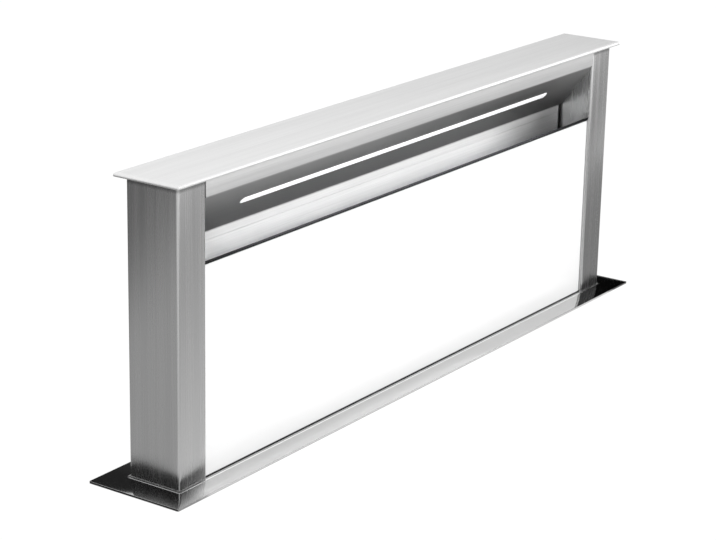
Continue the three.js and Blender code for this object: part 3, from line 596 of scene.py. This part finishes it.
bead_half, bead_rise, bead_reach = 0.8 * MM, 0.6 * MM, 58 * MM
bead_turn = np.linspace(-0.2 * math.pi, 1.2 * math.pi, 11)
bead_x, bead_y = slot_size / 2 + 0.4 * MM + bead_half
for side, sign in (("left", -1), ("right", 1)):
    way, normals = bent_line([[bead_x - bead_reach, -sign * bead_y], [bead_x, -sign * bead_y],
                              [bead_x, sign * bead_y], [bead_x - bead_reach, sign * bead_y]],
                             slot_corner, 8)
    rings = np.empty((len(way), len(bead_turn), 3))
    rings[..., :2] = way[:, None] + normals[:, None] * bead_half * np.cos(bead_turn)[:, None]
    rings[..., 0] *= sign
    rings[..., 2] = flange_top + bead_rise * np.sin(bead_turn)
    dress(skin(f"{side}_slot_bead", rings), polished, "chassis")


# ---- Tower's folded parts ----
# The rear panel, the skirt under the glass, the filters' rest bar, the panel's hangers and hook
# frame, and its trim and seals. Sheet edges are deburred, and rubber edges are soft.
def eased_copies(look, body, width, *names):
    """The frame's own solids, each merged, with its flat faces whole and its edges rounded."""
    for name in names:
        shell = bmesh.new()
        shell.from_mesh(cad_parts[name].data)
        bmesh.ops.remove_doubles(shell, verts=shell.verts, dist=1e-6)
        bmesh.ops.dissolve_limit(shell, angle_limit=math.radians(0.5), verts=shell.verts,
                                 edges=shell.edges)
        eased = f"{name}_eased"
        made = put_in_scene(eased, bpy.data.meshes.new(eased), shell, 35)
        rounded = made.modifiers.new("deburred", "BEVEL")
        rounded.width = width
        rounded.segments = 2
        rounded.limit_method = "ANGLE"
        rounded.angle_limit = math.radians(40)
        rounded.harden_normals = True
        dress(made, look, body, name)


def cloudy_finish(name, slot, dark, light, scale, rough, metallic=1.0, relief=None):
    """A finish whose colour and roughness wander between two values with one cloudy noise."""
    made, tree, shader = material(name, slot, Metallic=metallic)
    cloud = node(tree, "TexNoise", place_on(tree), None, scale, 3.0)
    tint = node(tree, "Mix", node(tree, "MapRange", cloud, 0.35, 0.65), data_type="RGBA")
    tint.inputs[6].default_value, tint.inputs[7].default_value = (*dark, 1), (*light, 1)
    feed(shader, Base_Color=tint.outputs[2], Roughness=node(tree, "MapRange", cloud, None, None, *rough))
    if relief:
        feed(shader, Normal=node(tree, "Bump", Distance=relief, Height=cloud))
    return made


panel_steel = brushed_steel("panel_steel", "z", 0.60, 0.30)
galvanised = cloudy_finish("galvanised", "galvanised_steel", (0.36, 0.38, 0.39), (0.50, 0.52, 0.53),
                           60.0, (0.36, 0.56))
dark_trim, *_ = material("dark_trim", "dark_trim", Base_Color=(0.008, 0.008, 0.009, 1),
                         Roughness=0.6, Specular_IOR_Level=0.2)
rubber, *_ = material("black_rubber", "black_rubber", Base_Color=grey(0.02), Roughness=0.8)
eased_copies(panel_steel, "tower", 0.5 * MM, "rear_panel", "front_skirt")
eased_copies(wall_steel, "tower", 0.3 * MM, "filter_rest_bar")
eased_copies(galvanised, "tower", 0.3 * MM, "panel_hanger_left", "panel_hanger_right")
eased_copies(galvanised, "front_panel", 0.2 * MM, "panel_hook_frame")
eased_copies(dark_trim, "front_panel", 0.5 * MM, "panel_top_trim")
eased_copies(rubber, "front_panel", 0.8 * MM, "panel_bottom_seal")
eased_copies(rubber, "chassis", 0.8 * MM, "wiper_seal")


# ---- Screws ----
# Pan heads with a hexagon socket hold the rear panel to the columns and the rear edge of the
# lid's frame. The same screws close the chassis, and smaller ones hold the nuts and the covers.
def round_angles(count):
    """Angles spread evenly round a circle."""
    return np.arange(count) * 2 * math.pi / count


def turned_rings(profile, sides):
    """A profile of radius and height carried round the z axis: one ring of points a step."""
    angle = round_angles(sides)
    radius, height = np.asarray(profile, float).T
    return np.stack([np.outer(np.cos(angle), radius), np.outer(np.sin(angle), radius),
                     np.broadcast_to(height, (sides, len(height)))], axis=-1)


def make_hexagonal(rings, first, last):
    """Swings the radius of some of a turned profile's points so that they lie on six flats."""
    flats = math.cos(math.pi / 6) / np.cos(round_angles(len(rings)) % (math.pi / 3) - math.pi / 6)
    rings[:, first:last, :2] *= flats[:, None, None]


def screw_head(radius, height):
    """A domed head with a hexagon socket."""
    socket, depth = 0.5 * radius, 0.6 * height
    dome = [(radius * math.cos(a), height * math.sin(a)) for a in np.linspace(0, 1.05, 4)]
    rings = turned_rings([(0, 0), *dome, (socket, height), (socket, height - depth),
                          (0, height - depth)], 12)
    make_hexagonal(rings, -3, -1)
    return shape(rings, loop=True)


def joined(shapes):
    """The points and faces of several shapes as one shape."""
    start = np.cumsum([0] + [len(points) for points, faces in shapes])
    faces = [[corner + first for corner in face]
             for first, (points, faces) in zip(start, shapes) for face in faces]
    return np.concatenate([points for points, faces in shapes]), faces


def screw_down(name, head, places, outward, body="chassis"):
    """Copies of one screw, each at its place with its own z axis turned to outward."""
    points, faces = head
    outward = np.array(outward, float)
    helper = (1.0, 0.0, 0.0) if abs(outward[2]) > 0.9 else (0.0, 0.0, 1.0)
    side = np.cross(helper, outward)
    turned = points @ np.stack([side, np.cross(outward, side), outward])
    shapes = [(turned + place, faces) for place in places]
    dress(mesh_piece(name, *joined(shapes)), screw_steel, body)


screw_steel = cloudy_finish("screw_steel", "machined_steel", (0.45, 0.45, 0.46), (0.58, 0.58, 0.59),
                            400.0, (0.22, 0.34))
pan_head = screw_head(3.4 * MM, 1.9 * MM)
from_panel_end, under_lid_frame, column_heights = 12 * MM, 14 * MM, (30 * MM, 150 * MM, 270 * MM)
screw_x, rear_y = box("rear_panel")[1, :2] - [from_panel_end, 0]
rear_places = [(x, rear_y, lid_low[2] - under_lid_frame) for x in np.linspace(-screw_x, screw_x, 7)]
rear_places += [(x, rear_y, z) for x in (-screw_x, screw_x) for z in column_heights]
screw_down("rear_screws", pan_head, rear_places, (0, 1, 0), "tower")

# ---- Grease filters ----
# Each is a frame of folded aluminium round a stack of expanded mesh. They lean behind the glass,
# on the rest bar in front and on the ledge at the rear, and lift out.
aluminium = cloudy_finish("aluminium", "aluminium_sheet", (0.50, 0.51, 0.52), (0.62, 0.63, 0.64),
                          90.0, (0.30, 0.42))
strand_pitch, strand, strand_swing = 4.6 * MM, 1.0 * MM, 0.5 * MM


def expanded_mesh(length, width, waves):
    """Rows of strands along x, each a square section. A row swings from side to side by a cosine
    and up and down twice as often by a sine, and touches its neighbours, so that the openings
    between them are diamonds."""
    along = np.linspace(0, length, waves * 4 + 1)
    phase = along / length * waves * 2 * math.pi
    count = int(width // strand_pitch)
    rows = np.arange(count)
    middle = (width - (count - 1) * strand_pitch) / 2 + rows * strand_pitch
    centre = middle[:, None] + strand_pitch / 2 * np.cos(phase) * np.where(rows % 2, -1, 1)[:, None]
    corners = strand / 2 * np.array([[-1, -1], [1, -1], [1, 1], [-1, 1]])
    points = np.empty((count, len(along), 4, 3))
    points[..., 0] = along[:, None]
    points[..., 1] = centre[:, :, None] + corners[:, 0]
    points[..., 2] = (strand_swing * np.sin(2 * phase))[:, None] + corners[:, 1]
    first = np.arange(len(along) - 1)[:, None] * 4
    around, after = np.arange(4), (np.arange(4) + 1) % 4
    quads = np.stack([first + around, first + after, first + 4 + after, first + 4 + around], -1)
    step = (rows * len(along) * 4)[:, None, None]
    return points.reshape(-1, 3), (quads.reshape(-1, 4) + step).reshape(-1, 4)


frame_depth, frame_border, frame_edge, frame_taper = 9 * MM, 7 * MM, 0.5 * MM, 0.999
mats, mat_tuck = ((26, 2.0 * MM), (28, 4.5 * MM), (30, 7.0 * MM)), 1 * MM  # waves and heights
filter_front, filter_rear = np.array([-24, 262]) * MM, np.array([3, 206]) * MM
filter_width = np.linalg.norm(filter_rear - filter_front)
filter_way = (filter_rear - filter_front) / filter_width
filter_up = np.array([-filter_way[1], filter_way[0]])
for number in (1, 2, 3):
    low, high = box(f"grease_filter_{number}")
    size = np.array([high[0] - low[0], filter_width])
    outer = round_rectangle(*size, 2 * MM, 4)
    inner = round_rectangle(*(size - 2 * frame_border), 3 * MM, 4)
    eased = outer * frame_taper
    shapes = [shape([flat_ring(outline, rise) for outline, rise in (
        (outer, frame_edge), (eased, 0), (inner, 0), (inner, frame_depth), (eased, frame_depth),
        (outer, frame_depth - frame_edge))], loop=True)]
    mat_size = size - 2 * (frame_border - mat_tuck)
    for waves, rise in mats:
        points, faces = expanded_mesh(*mat_size, waves)
        shapes.append((points + [*-mat_size / 2, rise], faces))
    points, faces = joined(shapes)
    down = (points[:, 1:2] + filter_width / 2) * filter_way
    placed = np.column_stack([points[:, 0] + (low[0] + high[0]) / 2,
                              filter_front + down + points[:, 2:] * filter_up])
    dress(mesh_piece(f"filter_{number}", placed, faces), aluminium, "tower",
          f"grease_filter_{number}", slot="filter_aluminium")

# ---- Tower's inner parts ----
# The light's supply and board, the plastic glide shoes, and the cast nut carriages with their
# brass nuts, each screwed on with four small screws.
board_green = cloudy_finish("board_green", "circuit_board", (0.015, 0.09, 0.04),
                            (0.02, 0.12, 0.055), 300.0, (0.35, 0.5), 0.0)
white_plastic = cloudy_finish("white_plastic", "white_plastic", (0.74, 0.73, 0.69),
                              (0.79, 0.78, 0.74), 40.0, (0.42, 0.55), 0.0)
black_plastic = cloudy_finish("black_plastic", "black_plastic", (0.020, 0.021, 0.023),
                              (0.028, 0.029, 0.031), 30.0, (0.42, 0.58), 0.0)
brass = cloudy_finish("brass", "brass", (0.50, 0.33, 0.10), (0.60, 0.42, 0.15), 150.0, (0.22, 0.36))
machined = cloudy_finish("machined", "machined_steel", (0.34, 0.35, 0.36), (0.44, 0.45, 0.46),
                         200.0, (0.22, 0.38))
cast_metal = cloudy_finish("cast_metal", "cast_housing", (0.24, 0.25, 0.26), (0.33, 0.34, 0.35),
                           250.0, (0.5, 0.65), 0.9, relief=0.0002)
eased_copies(board_green, "tower", 0.2 * MM, "led_board")
eased_copies(white_plastic, "tower", 1.5 * MM, "led_driver")
eased_copies(black_plastic, "tower", 0.6 * MM, "glide_shoe_left", "glide_shoe_right")
eased_copies(cast_metal, "tower", 0.8 * MM, "left_nut_carriage", "right_nut_carriage")


def turned_piece(name, profile, look, body, centre, axis="z", nodes=(), sides=96):
    """A turned piece: its closed profile of radius and height carried round an axis."""
    order = {"z": [0, 1, 2], "x": [2, 0, 1], "y": [1, 2, 0]}[axis]
    rings = turned_rings(profile, sides)[..., order] + np.asarray(centre)
    dress(skin(name, rings, loop=True), look, body, *nodes)


def eased_profile(corners, radius, steps=3):
    """A closed profile whose corners off the axis are rounded. Each becomes a quadratic curve
    that leaves one edge and joins the next, with the corner as its control point."""
    corners = np.asarray(corners, float)
    points = []
    for before, corner, after in zip(np.roll(corners, 1, 0), corners, np.roll(corners, -1, 0)):
        if corner[0] < 1e-9:
            points.append(corner[None])
            continue
        edges = np.array([before, after]) - corner
        lengths = np.linalg.norm(edges, axis=1)
        start, end = corner + min(radius, lengths.min() / 2.2) * edges / lengths[:, None]
        t = np.linspace(0, 1, steps + 1)[:, None]
        points.append((1 - t) ** 2 * start + 2 * t * (1 - t) * corner + t ** 2 * end)
    return np.concatenate(points)


def round_places(count, radius, start):
    """Places spread evenly round a circle, as pairs."""
    angle = start + round_angles(count)
    return radius * np.stack([np.cos(angle), np.sin(angle)], axis=1)


nut_bore, nut_radius, nut_flange_radius, nut_flange = 8.7 * MM, 14 * MM, 21 * MM, 4.7 * MM
nut_screw, nut_screw_circle = screw_head(2.6 * MM, 2.0 * MM), 17.5 * MM
for side in ("left", "right"):
    low, high = box(f"{side}_lift_nut")
    foot, shoulder, top = low[2], low[2] + nut_flange, high[2]
    middle = (low[0] + high[0]) / 2
    nut_profile = eased_profile([
        (nut_bore, foot), (nut_flange_radius, foot), (nut_flange_radius, shoulder),
        (nut_radius, shoulder), (nut_radius, top), (nut_bore, top)], 0.8 * MM)
    turned_piece(f"{side}_nut", nut_profile, brass, "tower", (middle, 0, 0),
                 nodes=[f"{side}_lift_nut"])
    places = [(middle + x, y, foot) for x, y in round_places(4, nut_screw_circle, math.pi / 4)]
    screw_down(f"{side}_nut_screws", nut_screw, places, (0, 0, -1), "tower")

# ---- Lift drive ----
# Two three-start trapezoidal spindles, one right-handed and one left-handed, because one line of
# cross shafts turns both; bevel gears join them inside cast gearboxes.
lead, starts, thread_depth, thread_run_out = 12 * MM, 3, 1.3 * MM, 3 * MM
groove_share, groove_flank, tooth_flank = 0.62, 4.0, 1.5
tip_share, tip_length = 0.7, 1.5 * MM
spindle_radius, journal_radius = 8 * MM, 6 * MM
teeth, tooth_depth, gear_back = 20, 1.5 * MM, 1.5 * MM
bevel_small, bevel_large, apex_gap = 10 * MM, 17 * MM, 0.5 * MM
gear_reach = bevel_large + apex_gap + gear_back
drive_z = box("left_spindle")[0, 2] - bevel_small - apex_gap


def spindle_rings(length, hand, sides=32, row=0.8 * MM):
    """A threaded bar from z = 0: its radius drops by the thread's depth where the place between
    two starts, height less hand times lead times turns, lies in the groove's trapezoid."""
    height = np.linspace(0, length, int(length / row))
    rings = turned_rings([(spindle_radius, z) for z in height], sides)
    turns = (np.arange(sides) / sides)[:, None]
    place = (height[None, :] - hand * lead * turns) / (lead / starts) % 1
    groove = np.clip(groove_flank * (groove_share - np.abs(2 * place - 1)), 0, 1)
    run_out = np.clip(np.minimum(height, length - height) / thread_run_out, 0, 1)
    rings[..., :2] *= (1 - thread_depth / spindle_radius * groove * run_out)[..., None]
    return rings


def bevel_gear_rings(sides=160):
    """A toothed cone whose apex is the shafts' crossing: each tooth is a rounded square wave of
    the angle, cut inwards and shallower towards the apex."""
    foot, rim = bevel_small + apex_gap, bevel_large + apex_gap
    back = bevel_large - 2 * MM
    rings = turned_rings([(0, foot), (bevel_small, foot), (bevel_large, rim),
                          (back, rim + gear_back), (0, rim + gear_back)], sides)
    wave = np.sin(teeth * round_angles(sides))[:, None]
    cut = tooth_depth * np.clip(0.5 - tooth_flank * wave, 0, 1)
    depth, radius = np.array([0.6, 1.0, 1.0]), np.array([bevel_small, bevel_large, back])
    rings[:, 1:4, :2] *= (1 - cut * depth / radius)[..., None]
    return rings


gear = bevel_gear_rings()
for side, hand, end in (("left", -1, 1), ("right", 1, 0)):
    low, high = box(f"{side}_spindle")
    column_x = (low[0] + high[0]) / 2
    rings = np.swapaxes(spindle_rings(high[2] - drive_z - gear_reach, hand), 0, 1)
    tip = rings[-1] * [tip_share, tip_share, 1]
    rings[-1, :, 2] -= tip_length
    spindle = np.concatenate([rings, tip[None]]) + [column_x, 0, drive_z + gear_reach]
    dress(skin(f"{side}_screw", spindle), machined, f"{side}_spindle", f"{side}_spindle")
    dress(skin(f"{side}_spindle_gear", gear + [column_x, 0, drive_z], loop=True),
          machined, f"{side}_spindle")
    cross_gear = gear[..., [2, 1, 0]] * [-hand, 1, 1] + [column_x, 0, drive_z]
    dress(skin(f"{side}_shaft_gear", cross_gear, loop=True), machined, f"{side}_cross_shaft")
    near = hand * abs(box(f"{side}_cross_shaft")[end, 0])
    far = hand * (abs(column_x) - gear_reach)
    shaft_profile = eased_profile([(0, near), (journal_radius, near), (journal_radius, far),
                                   (0, far)], 0.8 * MM)
    turned_piece(f"{side}_shaft", shaft_profile, machined, f"{side}_cross_shaft",
                 (0, 0, drive_z), "x", [f"{side}_cross_shaft"], 48)
eased_copies(cast_metal, "chassis", 1.2 * MM, "left_gearbox", "right_gearbox")
eased_copies(aluminium, "chassis", 0.4 * MM, "guide_rail_left", "guide_rail_right")
eased_copies(cast_metal, "chassis", 1.5 * MM, "lift_gear_head")

low, high = box("lift_motor")
motor_radius, cap_length, groove = (high[2] - low[2]) / 2, 14 * MM, 1.2 * MM
bearing_radius, bearing_length = 9 * MM, 6 * MM
cap_end, can_end = low[0] + cap_length, high[0] - bearing_length
motor_profile = eased_profile([
    (0, low[0]), (motor_radius, low[0]), (motor_radius, cap_end), (motor_radius - groove, cap_end),
    (motor_radius - groove, cap_end + groove), (motor_radius, cap_end + groove),
    (motor_radius, can_end - cap_length), (motor_radius - groove, can_end - cap_length),
    (motor_radius - groove, can_end), (bearing_radius, can_end), (bearing_radius, high[0]),
    (0, high[0])], 1.0 * MM)
turned_piece("lift_motor_can", motor_profile, machined, "chassis",
             (0, *(low + high)[1:] / 2), "x", ["lift_motor"])

# ---- Chassis ----
# Galvanised sheets screwed together at their corners, with pressed stiffening beads, the brackets
# to the cabinet's floor, and clamps that pull the flange down on the worktop.
eased_copies(galvanised, "chassis", 0.4 * MM, "chassis_front", "chassis_rear", "chassis_left_end",
             "chassis_right_end", "chassis_floor", "floor_bracket_left", "floor_bracket_right")


def pressed_bead(length, width, height, steps=8):
    """A bead in the xy plane, its height a half ellipse across it and round its ends: rings of a
    stadium outline that shrink as they rise."""
    turn = np.linspace(0, math.pi / 2, steps)[:-1]
    narrow = width * np.cos(turn)
    return np.array([flat_ring(stadium(length - width + across, across, 8), rise)
                     for across, rise in zip(narrow, height * np.sin(turn))])


(rear_start, _, _), (rear_end, rear_face, _) = box("chassis_rear")
bead_length, bead_width, bead_height = rear_end - rear_start - 130 * MM, 16 * MM, 2.2 * MM
stiffener = pressed_bead(bead_length, bead_width, bead_height)[..., [0, 2, 1]]
for number, height in enumerate((-140 * MM, -320 * MM, -500 * MM), 1):
    dress(skin(f"rear_bead_{number}", stiffener + [0, rear_face, height]), galvanised, "chassis")

corner_x, corner_heights = rear_end - 9 * MM, np.linspace(-20 * MM, -610 * MM, 6)
foot_row, foot_height = np.linspace(-400 * MM, 400 * MM, 5), -620 * MM
for name, y, outward in (("rear", rear_face, 1), ("front", box("chassis_front")[0, 1], -1)):
    places = [(x, y, z) for x in (-corner_x, corner_x) for z in corner_heights]
    places += [(x, y, foot_height) for x in foot_row]
    screw_down(f"chassis_{name}_screws", pan_head, places, (0, outward, 0))


def hex_bolt(across, head, shank, length):
    """A bolt that points up from its hexagon head at z = 0."""
    rings = turned_rings([
        (0, 0), (0.9 * across, 0), (across, 0.15 * head), (across, head), (shank, head),
        (shank, length - 0.5 * MM), (shank - 0.5 * MM, length), (0, length)], 24)
    make_hexagonal(rings, 2, 4)
    return shape(rings, loop=True)


clamp_hole_reach, worktop_thickness, bolt_drop = 17 * MM, 40 * MM, 34 * MM
clamps = [f"worktop_clamp_{row}_{side}" for row in ("front", "rear") for side in ("left", "right")]
bolt_places = []
for clamp in clamps:
    low, high = box(clamp)
    wall_y = low[1] if "rear" in clamp else high[1]
    hole_y = wall_y + math.copysign(clamp_hole_reach, wall_y)
    bolt_places.append(((low[0] + high[0]) / 2, hole_y, -worktop_thickness - bolt_drop))
eased_copies(galvanised, "chassis", 0.5 * MM, *clamps)
screw_down("clamp_bolts", hex_bolt(5.4 * MM, 4 * MM, 3 * MM, bolt_drop), bolt_places, (0, 0, 1))


# ---- Blower ----
# A moulded scroll casing with a ribbed front, screwed to a steel back plate whose mouth leads
# into the wheel; the wheel and its motor sit inside.
def scroll(inset):
    """The scroll's outline in the xz plane: a spiral whose radius grows in step with its angle
    from the tongue to the bottom, then straight out to the outlet and back along its top."""
    angle = np.linspace(tongue, 1.5 * math.pi, 120)
    radius = np.linspace(scroll_small, scroll_large, len(angle)) - inset
    spiral = radius[:, None] * np.stack([np.cos(angle), np.sin(angle)], axis=1)
    foot, top = -scroll_large + inset, -scroll_large + outlet_height - inset
    return np.concatenate([[[outlet_end, top]], spiral, [[outlet_end, foot]]])


def at_blower(outline, y):
    """An outline round the wheel's axis, set at one depth."""
    return flat_ring(outline, y)[:, [0, 2, 1]] + [blower_x, 0, blower_z]


casing_low, casing_high = box("blower_casing")
tongue, scroll_small, scroll_large, outlet_height = -0.32, 125 * MM, 205 * MM, 160 * MM
outlet_end = 220 * MM
blower_x, blower_z = casing_high[0] - outlet_end, casing_low[2] + scroll_large
casing_wall, front_set_back, casing_edge = 2.5 * MM, 2.5 * MM, 2.0 * MM
casing_rear, plate_front = casing_high[1], casing_low[1] + front_set_back
wall_front = plate_front + casing_edge
walls = [at_blower(scroll(inset), y) for inset, y in (
    (0, casing_rear), (0, wall_front), (casing_wall, wall_front), (casing_wall, casing_rear))]
dress(skin("scroll_wall", np.stack(walls, axis=1)), black_plastic, "chassis", "blower_casing")
front_rings = []
for turn in np.linspace(0, math.pi / 2, 5):
    inset = casing_edge * (1 - math.sin(turn))
    outline = scroll(inset)
    outline[[0, -1], 0] -= inset
    front_rings.append(at_blower(outline, plate_front + casing_edge * (1 - math.cos(turn))))
front_rings.append(at_blower(scroll(0), wall_front + 0.4 * MM))
dress(skin("scroll_front", front_rings), black_plastic, "chassis")

rib_inner, rib_outer, rib_half, ring_wall = 52 * MM, 112 * MM, 1.1 * MM, 2.5 * MM
rib_front, rib_root = plate_front - 2.0 * MM, plate_front + 1 * MM
hub_ring = eased_profile([(rib_inner - ring_wall, rib_root), (rib_inner, rib_root),
                          (rib_inner, rib_front), (rib_inner - ring_wall, rib_front)], 0.6 * MM)
turned_piece("motor_ring", hub_ring, black_plastic, "chassis", (blower_x, 0, blower_z), "y")
ribs = []
for way in round_places(12, 1.0, 0):
    aside = np.array([-way[1], way[0]]) * rib_half
    foot = np.array([rib_inner * way - aside, rib_outer * way - aside,
                     rib_outer * way + aside, rib_inner * way + aside])
    ribs.append(shape([at_blower(foot, rib_root), at_blower(foot, rib_front)]))
dress(mesh_piece("motor_ribs", *joined(ribs)), black_plastic, "chassis")
motor_screw_circle = 34 * MM
mount_places = at_blower(round_places(3, motor_screw_circle, math.pi / 2), plate_front)
screw_down("motor_screws", pan_head, mount_places, (0, -1, 0))
eased_copies(galvanised, "chassis", 0.2 * MM, "blower_back_plate")
eased_copies(black_plastic, "fan", 0.3 * MM, "fan_wheel")
eased_copies(machined, "chassis", 1.2 * MM, "fan_motor")


# ---- Outlet ----
# A moulded plate over the scroll's mouth with a round collar for a 150 mm duct, and two
# spring-loaded aluminium flaps on an upright bar that stop air from blowing back.
def at_outlet(outline, x):
    """An outline round the collar's axis, set at one distance along x."""
    return flat_ring(outline, x)[:, [2, 0, 1]] + [0, outlet_y, outlet_z]


spigot_low, spigot_high = box("outlet_spigot")
_, outlet_y, outlet_z = (spigot_low + spigot_high) / 2
collar_radius, collar_wall, plate_thickness, plate_edge = 75 * MM, 2 * MM, 2.5 * MM, 0.8 * MM
collar_bore = collar_radius - collar_wall
plate_outline = round_rectangle(*(spigot_high - spigot_low)[1:], 6 * MM, 15)
around = np.arctan2(plate_outline[:, 1], plate_outline[:, 0])
hole = collar_bore * np.stack([np.cos(around), np.sin(around)], axis=1)
plate_back, plate_face, duct_end = spigot_low[0], spigot_low[0] + plate_thickness, spigot_high[0]
outlet_plate = skin("outlet_plate", [at_outlet(outline, x) for outline, x in (
    (plate_outline, plate_back), (plate_outline, plate_face - plate_edge),
    (plate_outline * (1 - plate_edge / collar_radius), plate_face),
    (hole, plate_face), (hole, plate_back))], loop=True)
dress(outlet_plate, black_plastic, "chassis", "outlet_spigot")
duct_bead_place, duct_bead_half = duct_end - 10 * MM, 3 * MM
duct_seat = collar_radius - 1.2 * MM
collar_profile = eased_profile([
    (collar_bore, plate_back), (duct_seat, plate_back),
    (duct_seat, duct_bead_place - duct_bead_half), (collar_radius, duct_bead_place),
    (duct_seat, duct_bead_place + duct_bead_half), (duct_seat, duct_end),
    (collar_bore, duct_end)], 0.6 * MM)
turned_piece("duct_collar", collar_profile, black_plastic, "chassis", (0, outlet_y, outlet_z), "x",
             sides=128)

bar_start, bar_end, bar_thickness = 6 * MM, 16 * MM, 6 * MM
bar_outline = round_rectangle(bar_end - bar_start, bar_thickness, 1.5 * MM, 3)
bar_middle = [plate_back + (bar_start + bar_end) / 2, outlet_y]
bar_reach = collar_bore - 0.2 * MM
dress(skin("flap_bar", [flat_ring(bar_outline + bar_middle, outlet_z + z)
                        for z in (-bar_reach, bar_reach)]), black_plastic, "chassis")
screw_aside, screw_above = 78 * MM, 70 * MM
outlet_corners = [(plate_face, outlet_y + y, outlet_z + z)
                  for y in (-screw_aside, screw_aside) for z in (-screw_above, screw_above)]
screw_down("outlet_screws", pan_head, outlet_corners, (1, 0, 0))

for side, sign, hinge in (("front", -1, 1), ("rear", 1, 0)):
    leaf = box(f"backdraft_flap_{side}")
    (leaf_back, _, leaf_foot), (leaf_front, _, leaf_top) = leaf
    turn, ease = np.linspace(-math.pi / 2, math.pi / 2, 33), 0.3 * MM
    rings = []
    # Each ring is a half disc against its straight hinge edge, drawn in by inset all round.
    for inset, x in ((ease, leaf_back), (0, leaf_back + ease), (0, leaf_front - ease),
                     (ease, leaf_front)):
        radius = (leaf_top - leaf_foot) / 2 - inset
        y = leaf[hinge, 1] + sign * np.maximum(radius * np.cos(turn), inset)
        rings.append(np.column_stack([np.full(len(turn), x), y, outlet_z + radius * np.sin(turn)]))
    dress(skin(f"flap_{side}", rings), aluminium, f"flap_{side}", f"backdraft_flap_{side}")

# ---- Control box ----
# A moulded box on the chassis's front with a screwed cover, the board inside it and the gland
# that the mains cable comes in by.
eased_copies(black_plastic, "chassis", 1.2 * MM, "control_box")
eased_copies(black_plastic, "chassis", 0.8 * MM, "control_box_cover")
eased_copies(board_green, "chassis", 0.2 * MM, "control_board")
low, high = box("control_box_cover")
from_edge = 8 * MM
cover_places = [(x, low[1], z) for x in (low[0] + from_edge, high[0] - from_edge)
                for z in (low[2] + from_edge, high[2] - from_edge)]
screw_down("cover_screws", screw_head(2.6 * MM, 1.4 * MM), cover_places, (0, -1, 0))

low, high = box("cable_gland")
foot, top, bore, dome, nut = low[2], high[2], 4 * MM, 9 * MM, (high[0] - low[0]) / 2
nut_top = box("control_box")[0, 2] - 0.3 * MM
rings = turned_rings([
    (bore, foot), (bore + 2.5 * MM, foot), (dome - 1 * MM, foot + 2 * MM), (dome, foot + 4 * MM),
    (nut, foot + 4.5 * MM), (nut, nut_top), (dome - 0.6 * MM, nut_top), (dome - 0.6 * MM, top),
    (bore, top)], 48)
make_hexagonal(rings, 4, 6)
rings[..., :2] += (low + high)[:2] / 2
dress(skin("gland", rings, loop=True), black_plastic, "chassis", "cable_gland")
